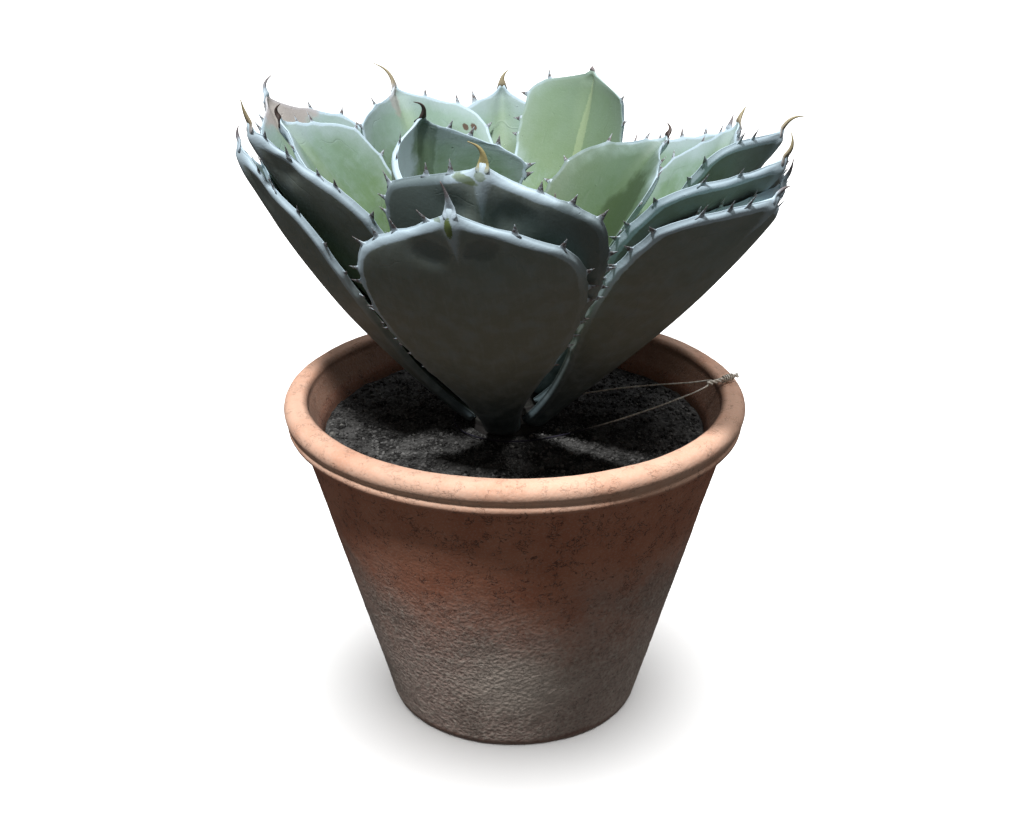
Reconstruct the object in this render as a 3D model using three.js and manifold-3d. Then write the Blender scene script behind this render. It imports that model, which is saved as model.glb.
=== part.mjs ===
// Potted agave: a broad-leaved rosette in a terracotta pot with a rolled rim.
// Millimetres, +Z up. The origin is the centre of the pot's flat underside.

import * as THREE from 'three';
import { mergeVertices } from 'three/addons/utils/BufferGeometryUtils.js';
import Module from 'manifold-3d';

const wasm = await Module();
wasm.setup();

// Driving dimensions

const GAP = 0.3;

const POT = {
  height: 191.4,
  baseRadius: 73.8,
  baseCorner: 4,
  shoulderRadius: 121.3,
  shoulderHeight: 172.6,
  rimRadius: 130,
  rollRadius: 6.6,
  beadRadius: 4.2,
  beadInset: 1.6,
  lipRadius: 4.6,
  lipCentreRadius: 120.5,
  wall: 12.4,
  floor: 13,
  sides: 48,
  drainRadius: 5,
  drainCircle: 34,
  drains: 3,
};

const SOIL = {
  wallLevel: 169.2,
  neckLevel: 170.8,
  neckRadius: 30,
  slopeRadius: 70,
  slopeLevel: 169.7,
  holeDepth: 13,
};

const STEM = {
  radius: 21,
  shoulderLevel: 173.5,
  crownRadius: 21.8,
  crownLevel: 177,
  tipRadius: 3.4,
  tipLevel: 221,
  point: 1,
  sides: 24,
};

// The rosette's axis stands a little to the left of the pot's
const AXIS = new THREE.Vector2(-4, 0);

const BLADE = {
  rows: 11,
  shoulderRow: 6,
  youngRows: 7,
  youngShoulderRow: 4,
  columns: 4,
  neckShare: 0.2,
  tipShare: 0.035,
  tipPower: 1.75,
  leanPower: 1.7,
  fold: 0.1,
  foldRounding: 0.15,
  tightestCup: 35,
  flattestSlope: 0.2,
  stepsALength: 60,
  body: 7,
  edge: 2.9,
  youngBody: 4.6,
  youngEdge: 2,
  youngLength: 120,
  tipThinning: 0.5,
};

// Pairs are the least and the most of what is drawn at random, as shares of the size above them
const TEETH = {
  spacing: 16,
  spacingDraw: [0.55, 1.4],
  lowest: 0.34,
  lowestDraw: [1, 1.15],
  highest: 0.96,
  height: 6,
  lowHeight: 3.4,
  heightDraw: [0.7, 1.15],
  width: 4.6,
  thickness: 2.4,
  root: 1.9,
  sides: 3,
  leanTowardsTip: 14,
  leanDraw: [-0.6, 1.4],
  seed: 11,
};

const SPINE = {
  rootRadius: 2.3,
  tipRadius: 0.35,
  taperPower: 0.8,
  root: 5,
  rings: 3,
  sides: 5,
};

const WIRE = {
  radius: 0.7,
  sides: 6,
  steps: 64,
  twistRadius: 0.75,
  twistTurns: 3.5,
  twistSteps: 22,
};

// The leaves from the outermost to the innermost, in millimetres and degrees.
// facing: compass angle of the leaf seen from above, 0 along +X and 90 along +Y.
// root: distance from the rosette's axis and height of the leaf's foot.
// lean: slope of the midrib over the horizontal at the foot and at the tip.
// cup: how far the blade wraps round the axis, 1 following a circle round it.
// roll: turn of the blade about its midrib, at the foot and what is added by the tip.
// swing: how far the tip drifts sideways. shoulder: where the blade is widest.
// spine: length of the tip spine, and how far its point turns to the side and outwards.
const LEAVES = [
  {
    facing: -97, root: [23.5, 175], lean: [44, 69], length: 203, width: 113, cup: 0.58,
    roll: [4, 0], swing: -14, shoulder: 0.72, spine: [14, -16, 0],
  },
  {
    facing: 36, root: [23, 174.5], lean: [33, 69], length: 202, width: 106, cup: 0.6,
    roll: [1, 5], swing: -2, shoulder: 0.79, spine: [8, 0, 0],
  },
  {
    facing: -171, root: [22, 176], lean: [43, 72], length: 203, width: 108, cup: 0.8,
    roll: [4, 3], swing: -1, shoulder: 0.66, spine: [8, 8, -35],
  },
  {
    facing: -39, root: [21.5, 176], lean: [45, 53], length: 206, width: 106, cup: 1.06,
    roll: [-14, -2], swing: 16, shoulder: 0.76, spine: [7, 0, 29],
  },
  {
    facing: 92, root: [22.5, 178], lean: [34, 78], length: 206, width: 105, cup: 0.54,
    roll: [-3, 4], swing: -3, shoulder: 0.75, spine: [10, -50, 0],
  },
  {
    facing: 57, root: [19.5, 183.8], lean: [33, 61], length: 167, width: 75, cup: 0.62,
    roll: [3, 6], swing: 1, shoulder: 0.73, spine: [12, 0, 5],
  },
  {
    facing: 128, root: [19.5, 181.5], lean: [33, 62], length: 166, width: 100, cup: 0.58,
    roll: [-11, 0], swing: 0, shoulder: 0.72, spine: [12, 0, 5],
  },
  {
    facing: 159, root: [20.5, 187.5], lean: [43, 68], length: 203, width: 110, cup: 0.98,
    roll: [-6, 3], swing: 1, shoulder: 0.73, spine: [12, -50, -55],
  },
  {
    facing: -95, root: [18, 186], lean: [43, 79], length: 206, width: 114, cup: 0.7,
    roll: [-2, -16], swing: 2, shoulder: 0.78, spine: [13, -65, 17],
  },
  {
    facing: -159, root: [19, 192.5], lean: [46, 67], length: 202, width: 105, cup: 0.94,
    roll: [2, 9], swing: 3, shoulder: 0.6, spine: [12, 3, -10],
  },
  {
    facing: -23, root: [23.5, 186.5], lean: [42, 58], length: 191, width: 114, cup: 1.1,
    roll: [-12, -2], swing: -2, shoulder: 0.66, spine: [11, 0, -25],
  },
  {
    facing: -26, root: [20.5, 194], lean: [44, 55], length: 198, width: 113, cup: 0.92,
    roll: [-20, 4], swing: 2, shoulder: 0.7, spine: [12, -13, -50],
  },
  {
    facing: 0, root: [14.5, 193.5], lean: [43, 56], length: 197, width: 105, cup: 0.52,
    roll: [-28, -1], swing: 3, shoulder: 0.8, spine: [14, 15, 50],
  },
  {
    facing: 116, root: [16, 193], lean: [43, 65], length: 188, width: 108, cup: 0.74,
    roll: [1, 15], swing: 18, shoulder: 0.81, spine: [19, 35, 37],
  },
  {
    facing: 25, root: [22, 204], lean: [34, 63], length: 179, width: 94, cup: 0.82,
    roll: [-21, 7], swing: 6, shoulder: 0.67, spine: [9, 3, 12],
  },
  {
    facing: 70, root: [12.5, 198], lean: [39, 81], length: 190, width: 89, cup: 0.76,
    roll: [0, -17], swing: -23, shoulder: 0.89, spine: [2, 0, 0],
  },
  {
    facing: 178, root: [18, 201], lean: [53, 57], length: 177, width: 105, cup: 0.94,
    roll: [3, -14], swing: 7, shoulder: 0.7, spine: [9, 40, -75],
  },
  {
    facing: 151, root: [15, 207.5], lean: [55, 107], length: 143, width: 124, cup: 1.18,
    roll: [6, -22], swing: -1, shoulder: 0.76, spine: [13, 80, 15],
  },
  {
    facing: 27, root: [13.5, 206.5], lean: [59, 49], length: 147, width: 92, cup: 0.96,
    roll: [5, -1], swing: -12, shoulder: 0.65, spine: [7, 55, -65],
  },
  {
    facing: -62, root: [12.5, 204.5], lean: [62, 86], length: 104, width: 62, cup: 0.88,
    roll: [0, 2], swing: 0, shoulder: 0.72, spine: [6, 0, 0],
  },
  {
    facing: -135, root: [12, 207.5], lean: [64, 88], length: 105, width: 53, cup: 1.14,
    roll: [-5, 1], swing: 0, shoulder: 0.72, spine: [6, 0, 0],
  },
  {
    facing: -12, root: [11, 211.5], lean: [64, 87], length: 86, width: 52, cup: 0.9,
    roll: [3, 1], swing: 0, shoulder: 0.72, spine: [6, 0, 0],
  },
  {
    facing: -92, root: [10.5, 213], lean: [65, 89], length: 101, width: 45, cup: 1,
    roll: [-2, 3], swing: 0, shoulder: 0.72, spine: [9, 0, 0],
  },
  {
    facing: 121, root: [9, 208.5], lean: [54, 90], length: 76, width: 47, cup: 0.98,
    roll: [3, 2], swing: 0, shoulder: 0.7, spine: [6, 0, 0],
  },
  {
    facing: -11, root: [7.5, 216], lean: [69, 91], length: 86, width: 34, cup: 1.08,
    roll: [-5, 0], swing: 0, shoulder: 0.72, spine: [6, 0, 0],
  },
  {
    facing: -125, root: [7, 215.5], lean: [64, 91], length: 76, width: 33, cup: 1.04,
    roll: [7, 0], swing: 0, shoulder: 0.71, spine: [6, 0, 0],
  },
  {
    facing: 58, root: [10.5, 220], lean: [50, 93], length: 68, width: 24, cup: 1.3,
    roll: [-3, 2], swing: 0, shoulder: 0.72, spine: [6, 0, 0],
  },
  {
    facing: -63, root: [4, 220], lean: [72, 90], length: 64, width: 19, cup: 1.24,
    roll: [0, 0], swing: 0, shoulder: 0.72, spine: [6, 0, 0],
  },
];

const radians = THREE.MathUtils.degToRad;

// The same draw each run, from 0 to 1
function seededRandom(seed) {
  let state = seed;
  return () => {
    state = (state * 1664525 + 1013904223) % 4294967296;
    return state / 4294967296;
  };
}

function solidFrom(geometry) {
  const bare = geometry.clone();
  bare.deleteAttribute('normal');
  bare.deleteAttribute('uv');
  const merged = mergeVertices(bare, 1e-4);
  return new wasm.Manifold(new wasm.Mesh({
    numProp: 3,
    vertProperties: new Float32Array(merged.attributes.position.array),
    triVerts: new Uint32Array(merged.index.array),
  }));
}

function geometryFrom(solid) {
  const mesh = solid.getMesh();
  const geometry = new THREE.BufferGeometry();
  geometry.setAttribute('position', new THREE.BufferAttribute(mesh.vertProperties, 3));
  geometry.setIndex(new THREE.BufferAttribute(mesh.triVerts, 1));
  geometry.computeVertexNormals();
  return geometry;
}

function geometryOf(points, triangles) {
  const geometry = new THREE.BufferGeometry();
  const coordinates = points.flatMap((point) => point.toArray());
  geometry.setAttribute('position', new THREE.Float32BufferAttribute(coordinates, 3));
  geometry.setIndex(triangles);
  return geometry;
}

// A boolean can leave crumbs, and the piece is the largest body
function largestBody(solid) {
  const bodies = solid.decompose();
  return bodies.reduce((best, body) => (body.volume() > best.volume() ? body : best));
}

// A profile of [radius, height] pairs turned round the Z axis, listed from the bottom of the axis outwards
function turned(profile, sides) {
  const points = profile.map(([radius, height]) => new THREE.Vector2(radius, height));
  return new THREE.LatheGeometry(points, sides).rotateX(Math.PI / 2);
}

// Leaf blade

function widthShare(form, share) {
  if (share < form.shoulder) {
    const rise = 0.5 * (1 - Math.cos((Math.PI * share) / form.shoulder));
    return BLADE.neckShare + (1 - BLADE.neckShare) * rise;
  }
  const beyond = (share - form.shoulder) / (1 - form.shoulder);
  const fall = 0.5 * (1 + Math.cos(Math.PI * beyond ** BLADE.tipPower));
  return BLADE.tipShare + (1 - BLADE.tipShare) * fall;
}

// Directions at one place on the midrib: along it, across the blade, and out of its upper face
function directionsAt(form, share) {
  const lean = radians(THREE.MathUtils.lerp(form.lean[0], form.lean[1], share ** BLADE.leanPower));
  const heading = radians(form.facing + form.swing * share ** 2);
  const roll = radians(form.roll[0] + form.roll[1] * share);
  const outwards = new THREE.Vector3(Math.cos(heading), Math.sin(heading), 0);
  const level = new THREE.Vector3(-Math.sin(heading), Math.cos(heading), 0);
  const along = outwards.clone().multiplyScalar(Math.cos(lean));
  along.z = Math.sin(lean);
  const upper = outwards.multiplyScalar(-Math.sin(lean));
  upper.z = Math.cos(lean);
  const across = level.clone().multiplyScalar(Math.cos(roll)).addScaledVector(upper, Math.sin(roll));
  const face = upper.multiplyScalar(Math.cos(roll)).addScaledVector(level, -Math.sin(roll));
  return { lean, along, across, face };
}

// Sections of the blade at rising shares of its length
function bladeSections(form, shares) {
  const facing = radians(form.facing);
  const middle = new THREE.Vector3(
    AXIS.x + form.root[0] * Math.cos(facing),
    AXIS.y + form.root[0] * Math.sin(facing),
    form.root[1],
  );
  const sections = [];
  let reached = 0;
  for (const share of shares) {
    const steps = Math.ceil((share - reached) * BLADE.stepsALength);
    const step = (share - reached) / Math.max(steps, 1);
    for (let i = 0; i < steps; i += 1) {
      middle.addScaledVector(directionsAt(form, reached + step / 2).along, step * form.length);
      reached += step;
    }
    const directions = directionsAt(form, share);
    const fromAxis = Math.hypot(middle.x - AXIS.x, middle.y - AXIS.y);
    const slope = Math.max(Math.sin(directions.lean), BLADE.flattestSlope);
    const wrapRadius = Math.max(fromAxis / slope, BLADE.tightestCup);
    sections.push({
      ...directions,
      share,
      middle: middle.clone(),
      halfWidth: 0.5 * form.width * widthShare(form, share),
      curvature: form.cup / wrapRadius,
    });
  }
  return sections;
}

// A point of the blade's middle surface, u from -1 to 1 across it, with the directions there
function bladePoint(section, u) {
  const { halfWidth, curvature, across, face } = section;
  const angle = halfWidth * u * curvature;
  const fold = BLADE.fold * halfWidth * (Math.hypot(u, BLADE.foldRounding) - BLADE.foldRounding);
  const point = section.middle.clone()
    .addScaledVector(across, Math.sin(angle) / curvature)
    .addScaledVector(face, (1 - Math.cos(angle)) / curvature + fold);
  const sideways = across.clone().multiplyScalar(Math.cos(angle)).addScaledVector(face, Math.sin(angle));
  const normal = face.clone().multiplyScalar(Math.cos(angle)).addScaledVector(across, -Math.sin(angle));
  return { point, sideways, normal };
}

function isYoung(form) {
  return form.length < BLADE.youngLength;
}

function halfThickness(form, share, u) {
  const body = (isYoung(form) ? BLADE.youngBody : BLADE.body) * (1 - BLADE.tipThinning * share);
  const edge = Math.min(isYoung(form) ? BLADE.youngEdge : BLADE.edge, body);
  return 0.5 * (edge + (body - edge) * (1 - u ** 2));
}

function bladeShares(form) {
  const rows = isYoung(form) ? BLADE.youngRows : BLADE.rows;
  const shoulderRow = isYoung(form) ? BLADE.youngShoulderRow : BLADE.shoulderRow;
  const shares = [];
  for (let row = 0; row <= rows; row += 1) {
    const below = (form.shoulder * row) / shoulderRow;
    const above = (row - shoulderRow) / (rows - shoulderRow);
    shares.push(row <= shoulderRow ? below : THREE.MathUtils.lerp(form.shoulder, 1, above));
  }
  return shares;
}

// The blade as a closed shell whose two faces are split alike. grow makes the room that it needs in the stem.
function bladeSolid(form, grow = 0) {
  const sections = bladeSections(form, bladeShares(form));
  sections[0].middle.addScaledVector(sections[0].along, -grow);
  const width = BLADE.columns + 1;
  const upper = [];
  const lower = [];
  for (const section of sections) {
    for (let column = 0; column <= BLADE.columns; column += 1) {
      const u = (2 * column) / BLADE.columns - 1;
      const { point, sideways, normal } = bladePoint(section, u);
      const half = halfThickness(form, section.share, u) + grow;
      point.addScaledVector(sideways, u * grow);
      upper.push(point.clone().addScaledVector(normal, half));
      lower.push(point.clone().addScaledVector(normal, -half));
    }
  }
  const triangles = [];
  const below = upper.length;
  const quad = (a, b, c, d) => triangles.push(a, b, c, a, c, d);
  const rows = sections.length - 1;
  for (let row = 0; row < rows; row += 1) {
    const start = row * width;
    for (let column = 0; column < BLADE.columns; column += 1) {
      const a = start + column;
      const b = a + 1;
      const c = b + width;
      const d = a + width;
      quad(a, d, c, b);
      quad(below + a, below + b, below + c, below + d);
    }
    const last = start + BLADE.columns;
    quad(start, below + start, below + start + width, start + width);
    quad(below + last, last, last + width, below + last + width);
  }
  const top = rows * width;
  for (let column = 0; column < BLADE.columns; column += 1) {
    quad(column, column + 1, below + column + 1, below + column);
    quad(below + top + column, below + top + column + 1, top + column + 1, top + column);
  }
  return solidFrom(geometryOf([...upper, ...lower], triangles));
}

// Teeth and spine

// How much the blade widens sideways as its midrib runs on, both in millimetres, just above a share
function widening(form, share) {
  const step = 0.005;
  const gain = widthShare(form, share + step) - widthShare(form, share);
  return (0.5 * form.width * gain) / (form.length * step);
}

// One tooth square to the margin: a low pyramid whose foot is sunk in the blade's edge
function toothSolid(form, section, side, height, lean) {
  const { point, sideways, normal } = bladePoint(section, side);
  const turn = lean - Math.atan(widening(form, section.share));
  const outwards = sideways.multiplyScalar(side);
  const pointing = outwards.multiplyScalar(Math.cos(turn)).addScaledVector(section.along, Math.sin(turn));
  const beside = new THREE.Vector3().crossVectors(pointing, normal).normalize();
  const face = new THREE.Vector3().crossVectors(beside, pointing);
  const cone = new THREE.ConeGeometry(0.5, height + TEETH.root, TEETH.sides);
  cone.rotateY(Math.PI / 2);
  cone.translate(0, (height - TEETH.root) / 2, 0);
  cone.scale(TEETH.width, 1, TEETH.thickness);
  cone.applyMatrix4(new THREE.Matrix4().makeBasis(beside, pointing, face).setPosition(point));
  return solidFrom(cone);
}

// Teeth up both margins, evenly spread along the edge, small below and full-sized from the shoulder on
function teethSolids(form, index) {
  const random = seededRandom(TEETH.seed + index);
  const drawn = ([least, most]) => THREE.MathUtils.lerp(least, most, random());
  return [-1, 1].flatMap((side) => {
    const shares = [];
    let share = TEETH.lowest * drawn(TEETH.lowestDraw);
    while (share < TEETH.highest) {
      shares.push(share);
      const edgeLength = form.length * Math.hypot(1, widening(form, share));
      share += (TEETH.spacing * drawn(TEETH.spacingDraw)) / edgeLength;
    }
    return bladeSections(form, shares).map((section) => {
      const raised = Math.min(1, (section.share - TEETH.lowest) / (form.shoulder - TEETH.lowest));
      const height = THREE.MathUtils.lerp(TEETH.lowHeight, TEETH.height, raised) * drawn(TEETH.heightDraw);
      return toothSolid(form, section, side, height, radians(TEETH.leanTowardsTip * drawn(TEETH.leanDraw)));
    });
  });
}

// Where the spine points once it has made a share of its bend, and the direction beside that
function spineDirections(form, section, bend) {
  const { along, across, face } = section;
  const aside = radians(form.spine[1] * bend);
  const outwards = radians(form.spine[2] * bend);
  const pointing = along.clone().multiplyScalar(Math.cos(aside) * Math.cos(outwards))
    .addScaledVector(across, Math.sin(aside) * Math.cos(outwards))
    .addScaledVector(face, -Math.sin(outwards));
  const beside = across.clone().multiplyScalar(Math.cos(aside)).addScaledVector(along, -Math.sin(aside));
  return { pointing, beside };
}

// The hard spine at the tip: a slim horn that bends aside and outwards
function spineSolid(form) {
  const [section] = bladeSections(form, [1]);
  const centre = section.middle.clone().addScaledVector(section.along, -SPINE.root);
  const points = [];
  const triangles = [];
  const { rings, sides } = SPINE;
  const ringLength = form.spine[0] / rings;
  for (let ring = 0; ring <= rings; ring += 1) {
    const radius = THREE.MathUtils.lerp(SPINE.rootRadius, SPINE.tipRadius, (ring / rings) ** SPINE.taperPower);
    const bendHere = THREE.MathUtils.clamp((ring - 0.5) / (rings - 1), 0, 1);
    const { pointing, beside } = spineDirections(form, section, bendHere);
    const over = pointing.cross(beside);
    for (let i = 0; i < sides; i += 1) {
      const angle = (2 * Math.PI * i) / sides;
      points.push(centre.clone()
        .addScaledVector(beside, radius * Math.cos(angle))
        .addScaledVector(over, radius * Math.sin(angle)));
    }
    const onwards = spineDirections(form, section, ring / (rings - 1)).pointing;
    centre.addScaledVector(onwards, ring === 0 ? SPINE.root + ringLength : ringLength);
  }
  for (let ring = 0; ring < rings; ring += 1) {
    for (let i = 0; i < sides; i += 1) {
      const a = ring * sides + i;
      const b = ring * sides + ((i + 1) % sides);
      triangles.push(a, b, b + sides, a, b + sides, a + sides);
    }
  }
  const last = rings * sides;
  for (let i = 1; i < sides - 1; i += 1) {
    triangles.push(0, i + 1, i, last, last + i, last + i + 1);
  }
  return solidFrom(geometryOf(points, triangles));
}

function leafSolid(form, index) {
  const teeth = isYoung(form) ? [] : teethSolids(form, index);
  const whole = [...teeth, spineSolid(form)].reduce((leaf, piece) => leaf.add(piece), bladeSolid(form));
  return largestBody(whole);
}

// Stem: a short cone that the leaves' feet are let into

function stemSolid() {
  const bottom = SOIL.neckLevel - SOIL.holeDepth + GAP;
  const cone = solidFrom(turned([
    [0, bottom],
    [STEM.radius, bottom],
    [STEM.radius, STEM.shoulderLevel],
    [STEM.crownRadius, STEM.crownLevel],
    [STEM.tipRadius, STEM.tipLevel],
    [0, STEM.tipLevel + STEM.point],
  ], STEM.sides).translate(AXIS.x, AXIS.y, 0));
  return largestBody(LEAVES.reduce((stem, form) => stem.subtract(bladeSolid(form, GAP)), cone));
}

// Pot

function wallRadius(height) {
  return THREE.MathUtils.mapLinear(height, 0, POT.shoulderHeight, POT.baseRadius, POT.shoulderRadius);
}

function innerRadius(height) {
  return wallRadius(height) - POT.wall;
}

function arcPoints(centreRadius, centreHeight, radius, from, to, steps) {
  const points = [];
  for (let i = 0; i <= steps; i += 1) {
    const angle = radians(THREE.MathUtils.lerp(from, to, i / steps));
    points.push([centreRadius + radius * Math.cos(angle), centreHeight + radius * Math.sin(angle)]);
  }
  return points;
}

// The rim is a thick roll over a slimmer bead, with a crease between them
function potSolid() {
  const corner = POT.baseCorner;
  const bead = POT.beadRadius;
  const roll = POT.rollRadius;
  const lip = POT.lipRadius;
  const profile = [
    [0, 0],
    ...arcPoints(POT.baseRadius - corner, corner, corner, -90, -15, 3),
    [POT.shoulderRadius, POT.shoulderHeight],
    ...arcPoints(POT.rimRadius - POT.beadInset - bead, POT.shoulderHeight + bead, bead, -70, 50, 3),
    ...arcPoints(POT.rimRadius - roll, POT.height - roll, roll, -35, 90, 5),
    ...arcPoints(POT.lipCentreRadius, POT.height - lip, lip, 90, 180, 3),
    [innerRadius(POT.shoulderHeight), POT.shoulderHeight],
    [innerRadius(POT.floor + corner), POT.floor + corner],
    [innerRadius(POT.floor) - corner, POT.floor],
    [0, POT.floor],
  ];
  let pot = solidFrom(turned(profile, POT.sides));
  for (let i = 0; i < POT.drains; i += 1) {
    const angle = (2 * Math.PI * (i + 0.25)) / POT.drains;
    const drain = new THREE.CylinderGeometry(POT.drainRadius, POT.drainRadius, 3 * POT.floor, 16);
    drain.rotateX(Math.PI / 2);
    drain.translate(POT.drainCircle * Math.cos(angle), POT.drainCircle * Math.sin(angle), POT.floor / 2);
    pot = pot.subtract(solidFrom(drain));
  }
  return pot;
}

// Soil, with a plain hole for the stem

function soilSolid() {
  const corner = POT.baseCorner;
  const inset = 2 * GAP;
  const body = solidFrom(turned([
    [0, POT.floor + GAP],
    [innerRadius(POT.floor) - corner - inset, POT.floor + GAP],
    [innerRadius(POT.floor + corner) - inset, POT.floor + corner + GAP],
    [innerRadius(SOIL.wallLevel) - inset, SOIL.wallLevel],
    [SOIL.slopeRadius, SOIL.slopeLevel],
    [SOIL.neckRadius, SOIL.neckLevel],
    [0, SOIL.neckLevel],
  ], POT.sides));
  const hole = new THREE.CylinderGeometry(STEM.radius + GAP, STEM.radius + GAP, 2 * SOIL.holeDepth, STEM.sides);
  hole.rotateX(Math.PI / 2);
  hole.translate(AXIS.x, AXIS.y, SOIL.neckLevel);
  return body.subtract(solidFrom(hole));
}

// Tie wire

// The loop round the neck: out from the twist, round behind the stem, and back in front of it
const WIRE_LOOP = [
  [112, 4.5, 193.4],
  [99, 9.5, 190],
  [83, 13.5, 187.3],
  [62, 16.5, 184],
  [40, 19, 179.5],
  [22, 23.5, 174.5],
  [6, 27.5, 172],
  [-10, 28, 171.7],
  [-25, 21, 171.7],
  [-33, 7, 171.7],
  [-33, -9, 171.7],
  [-24, -23, 171.7],
  [-9, -30.5, 171.7],
  [7, -30.5, 171.7],
  [22, -26, 172.2],
  [45, -19.5, 175.5],
  [72, -12.5, 181.5],
  [94, -7, 187.8],
  [107, -3.5, 192.4],
];

const TWIST = {
  start: [109, -1, 193.6],
  end: [127.5, 10.5, 194.4],
};

function wireAlong(points) {
  const corners = [];
  for (let i = 0; i < WIRE.sides; i += 1) {
    const angle = (2 * Math.PI * i) / WIRE.sides;
    corners.push(new THREE.Vector2(WIRE.radius * Math.cos(angle), WIRE.radius * Math.sin(angle)));
  }
  const path = new THREE.CatmullRomCurve3(points.map((p) => new THREE.Vector3(...p)), false, 'centripetal');
  const extrusion = { steps: WIRE.steps, extrudePath: path };
  return solidFrom(new THREE.ExtrudeGeometry(new THREE.Shape(corners), extrusion));
}

// The two ends wound round each other, each a helix about the twist's axis
function twistedEnd(phase) {
  const start = new THREE.Vector3(...TWIST.start);
  const axis = new THREE.Vector3(...TWIST.end).sub(start);
  const across = new THREE.Vector3(0, 0, 1).cross(axis).normalize();
  const up = axis.clone().cross(across).normalize();
  const points = [];
  for (let i = 0; i <= WIRE.twistSteps; i += 1) {
    const share = i / WIRE.twistSteps;
    const angle = phase + 2 * Math.PI * WIRE.twistTurns * share;
    points.push(start.clone().addScaledVector(axis, share)
      .addScaledVector(across, WIRE.twistRadius * Math.cos(angle))
      .addScaledVector(up, WIRE.twistRadius * Math.sin(angle)).toArray());
  }
  return points;
}

function wireSolid() {
  const first = twistedEnd(Math.PI / 2);
  const second = twistedEnd(-Math.PI / 2);
  return wireAlong([...first.toReversed(), ...WIRE_LOOP, ...second]);
}

// Assembly

const finishes = {
  leaf: { color: 0x8fae9c, roughness: 0.62, metalness: 0 },
  stem: { color: 0x8c8566, roughness: 0.9, metalness: 0 },
  soil: { color: 0x2b2825, roughness: 1, metalness: 0 },
  pot: { color: 0xb27a5c, roughness: 0.88, metalness: 0 },
  wire: { color: 0x77736c, roughness: 0.5, metalness: 0.9 },
};

const group = new THREE.Group();

function place(name, solid, finish) {
  const mesh = new THREE.Mesh(geometryFrom(solid), new THREE.MeshStandardMaterial(finishes[finish]));
  mesh.name = name;
  group.add(mesh);
}

place('pot', potSolid(), 'pot');
place('soil', soilSolid(), 'soil');
place('stem', stemSolid(), 'stem');
LEAVES.forEach((form, index) => {
  place(`leaf_${String(index + 1).padStart(2, '0')}`, leafSolid(form, index), 'leaf');
});
place('tie_wire', wireSolid(), 'wire');

export default group;
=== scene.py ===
"""Potted agave: looks for a broad-leaved rosette in a terracotta pot with a rolled rim.

Meshes are shaped in millimetres and scaled to metres when a piece is finished. The axes are
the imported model's: +Z up, with the origin at the centre of the pot's flat underside.
"""

import logging
import math
from collections.abc import Callable, Iterable, Sequence
from dataclasses import dataclass, field
from enum import Enum
from functools import cached_property
from typing import Any

import bmesh
import bpy
from bpy.types import Material, NodeSocket, Object
from mathutils import Matrix, Vector, noise


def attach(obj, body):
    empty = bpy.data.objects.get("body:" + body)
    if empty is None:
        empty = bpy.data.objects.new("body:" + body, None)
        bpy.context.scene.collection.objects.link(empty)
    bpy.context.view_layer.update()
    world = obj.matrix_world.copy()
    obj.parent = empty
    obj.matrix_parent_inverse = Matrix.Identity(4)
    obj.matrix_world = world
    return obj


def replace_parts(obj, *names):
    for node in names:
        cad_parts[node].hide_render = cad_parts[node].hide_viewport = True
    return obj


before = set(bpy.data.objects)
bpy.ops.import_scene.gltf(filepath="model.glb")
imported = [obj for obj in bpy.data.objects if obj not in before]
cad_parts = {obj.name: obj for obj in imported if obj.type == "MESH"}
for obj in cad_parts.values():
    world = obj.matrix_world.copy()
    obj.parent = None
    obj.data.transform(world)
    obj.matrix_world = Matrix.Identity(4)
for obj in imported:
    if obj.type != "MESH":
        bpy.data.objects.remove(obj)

LOG = logging.getLogger("potted_agave")
MM = 0.001
BODY = "root"

Colour = tuple[float, float, float, float]
Pair = tuple[float, float]
Place = tuple[float, float, float]

# Where the horn's materials are in a leaf's list, after the skin
TOOTH_HORN, SPINE_HORN = 1, 2


def paint(red: int, green: int, blue: int) -> Colour:
    """A colour as light, from how it is written for a screen.

    Args:
        red: Share of red, 0 to 255.
        green: Share of green, 0 to 255.
        blue: Share of blue, 0 to 255.

    Returns:
        The linear colour with an alpha of 1.
    """
    linear = []
    for part in (red, green, blue):
        share = part / 255
        linear.append(share / 12.92 if share <= 0.04045 else ((share + 0.055) / 1.055) ** 2.4)
    return (*linear, 1.0)


def lerp(low: float, high: float, share: float) -> float:
    """The value a share of the way from low to high."""
    return low + (high - low) * share


def smooth(value: float, low: float, high: float) -> float:
    """A smooth step from 0 at low to 1 at high."""
    share = min(1.0, max(0.0, (value - low) / (high - low)))
    return share * share * (3 - 2 * share)


@dataclass(frozen=True)
class Cloud:
    """Soft noise: its spots to the unit of length, its detail, and how it is stretched and moved."""

    scale: float
    detail: float = 3.0
    rough: float = 0.5
    warp: float = 0.0
    stretch: Place = (1, 1, 1)
    shift: Place = (0, 0, 0)


class SeededDraw:
    """The same row of random numbers each run."""

    def __init__(self, seed: int) -> None:
        """Starts the row at a seed."""
        self.state = seed

    def share(self) -> float:
        """The next number, from 0 to 1."""
        self.state = (self.state * 1664525 + 1013904223) % 4294967296
        return self.state / 4294967296

    def between(self, low: float, high: float) -> float:
        """The next number, from low to high."""
        return lerp(low, high, self.share())


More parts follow.
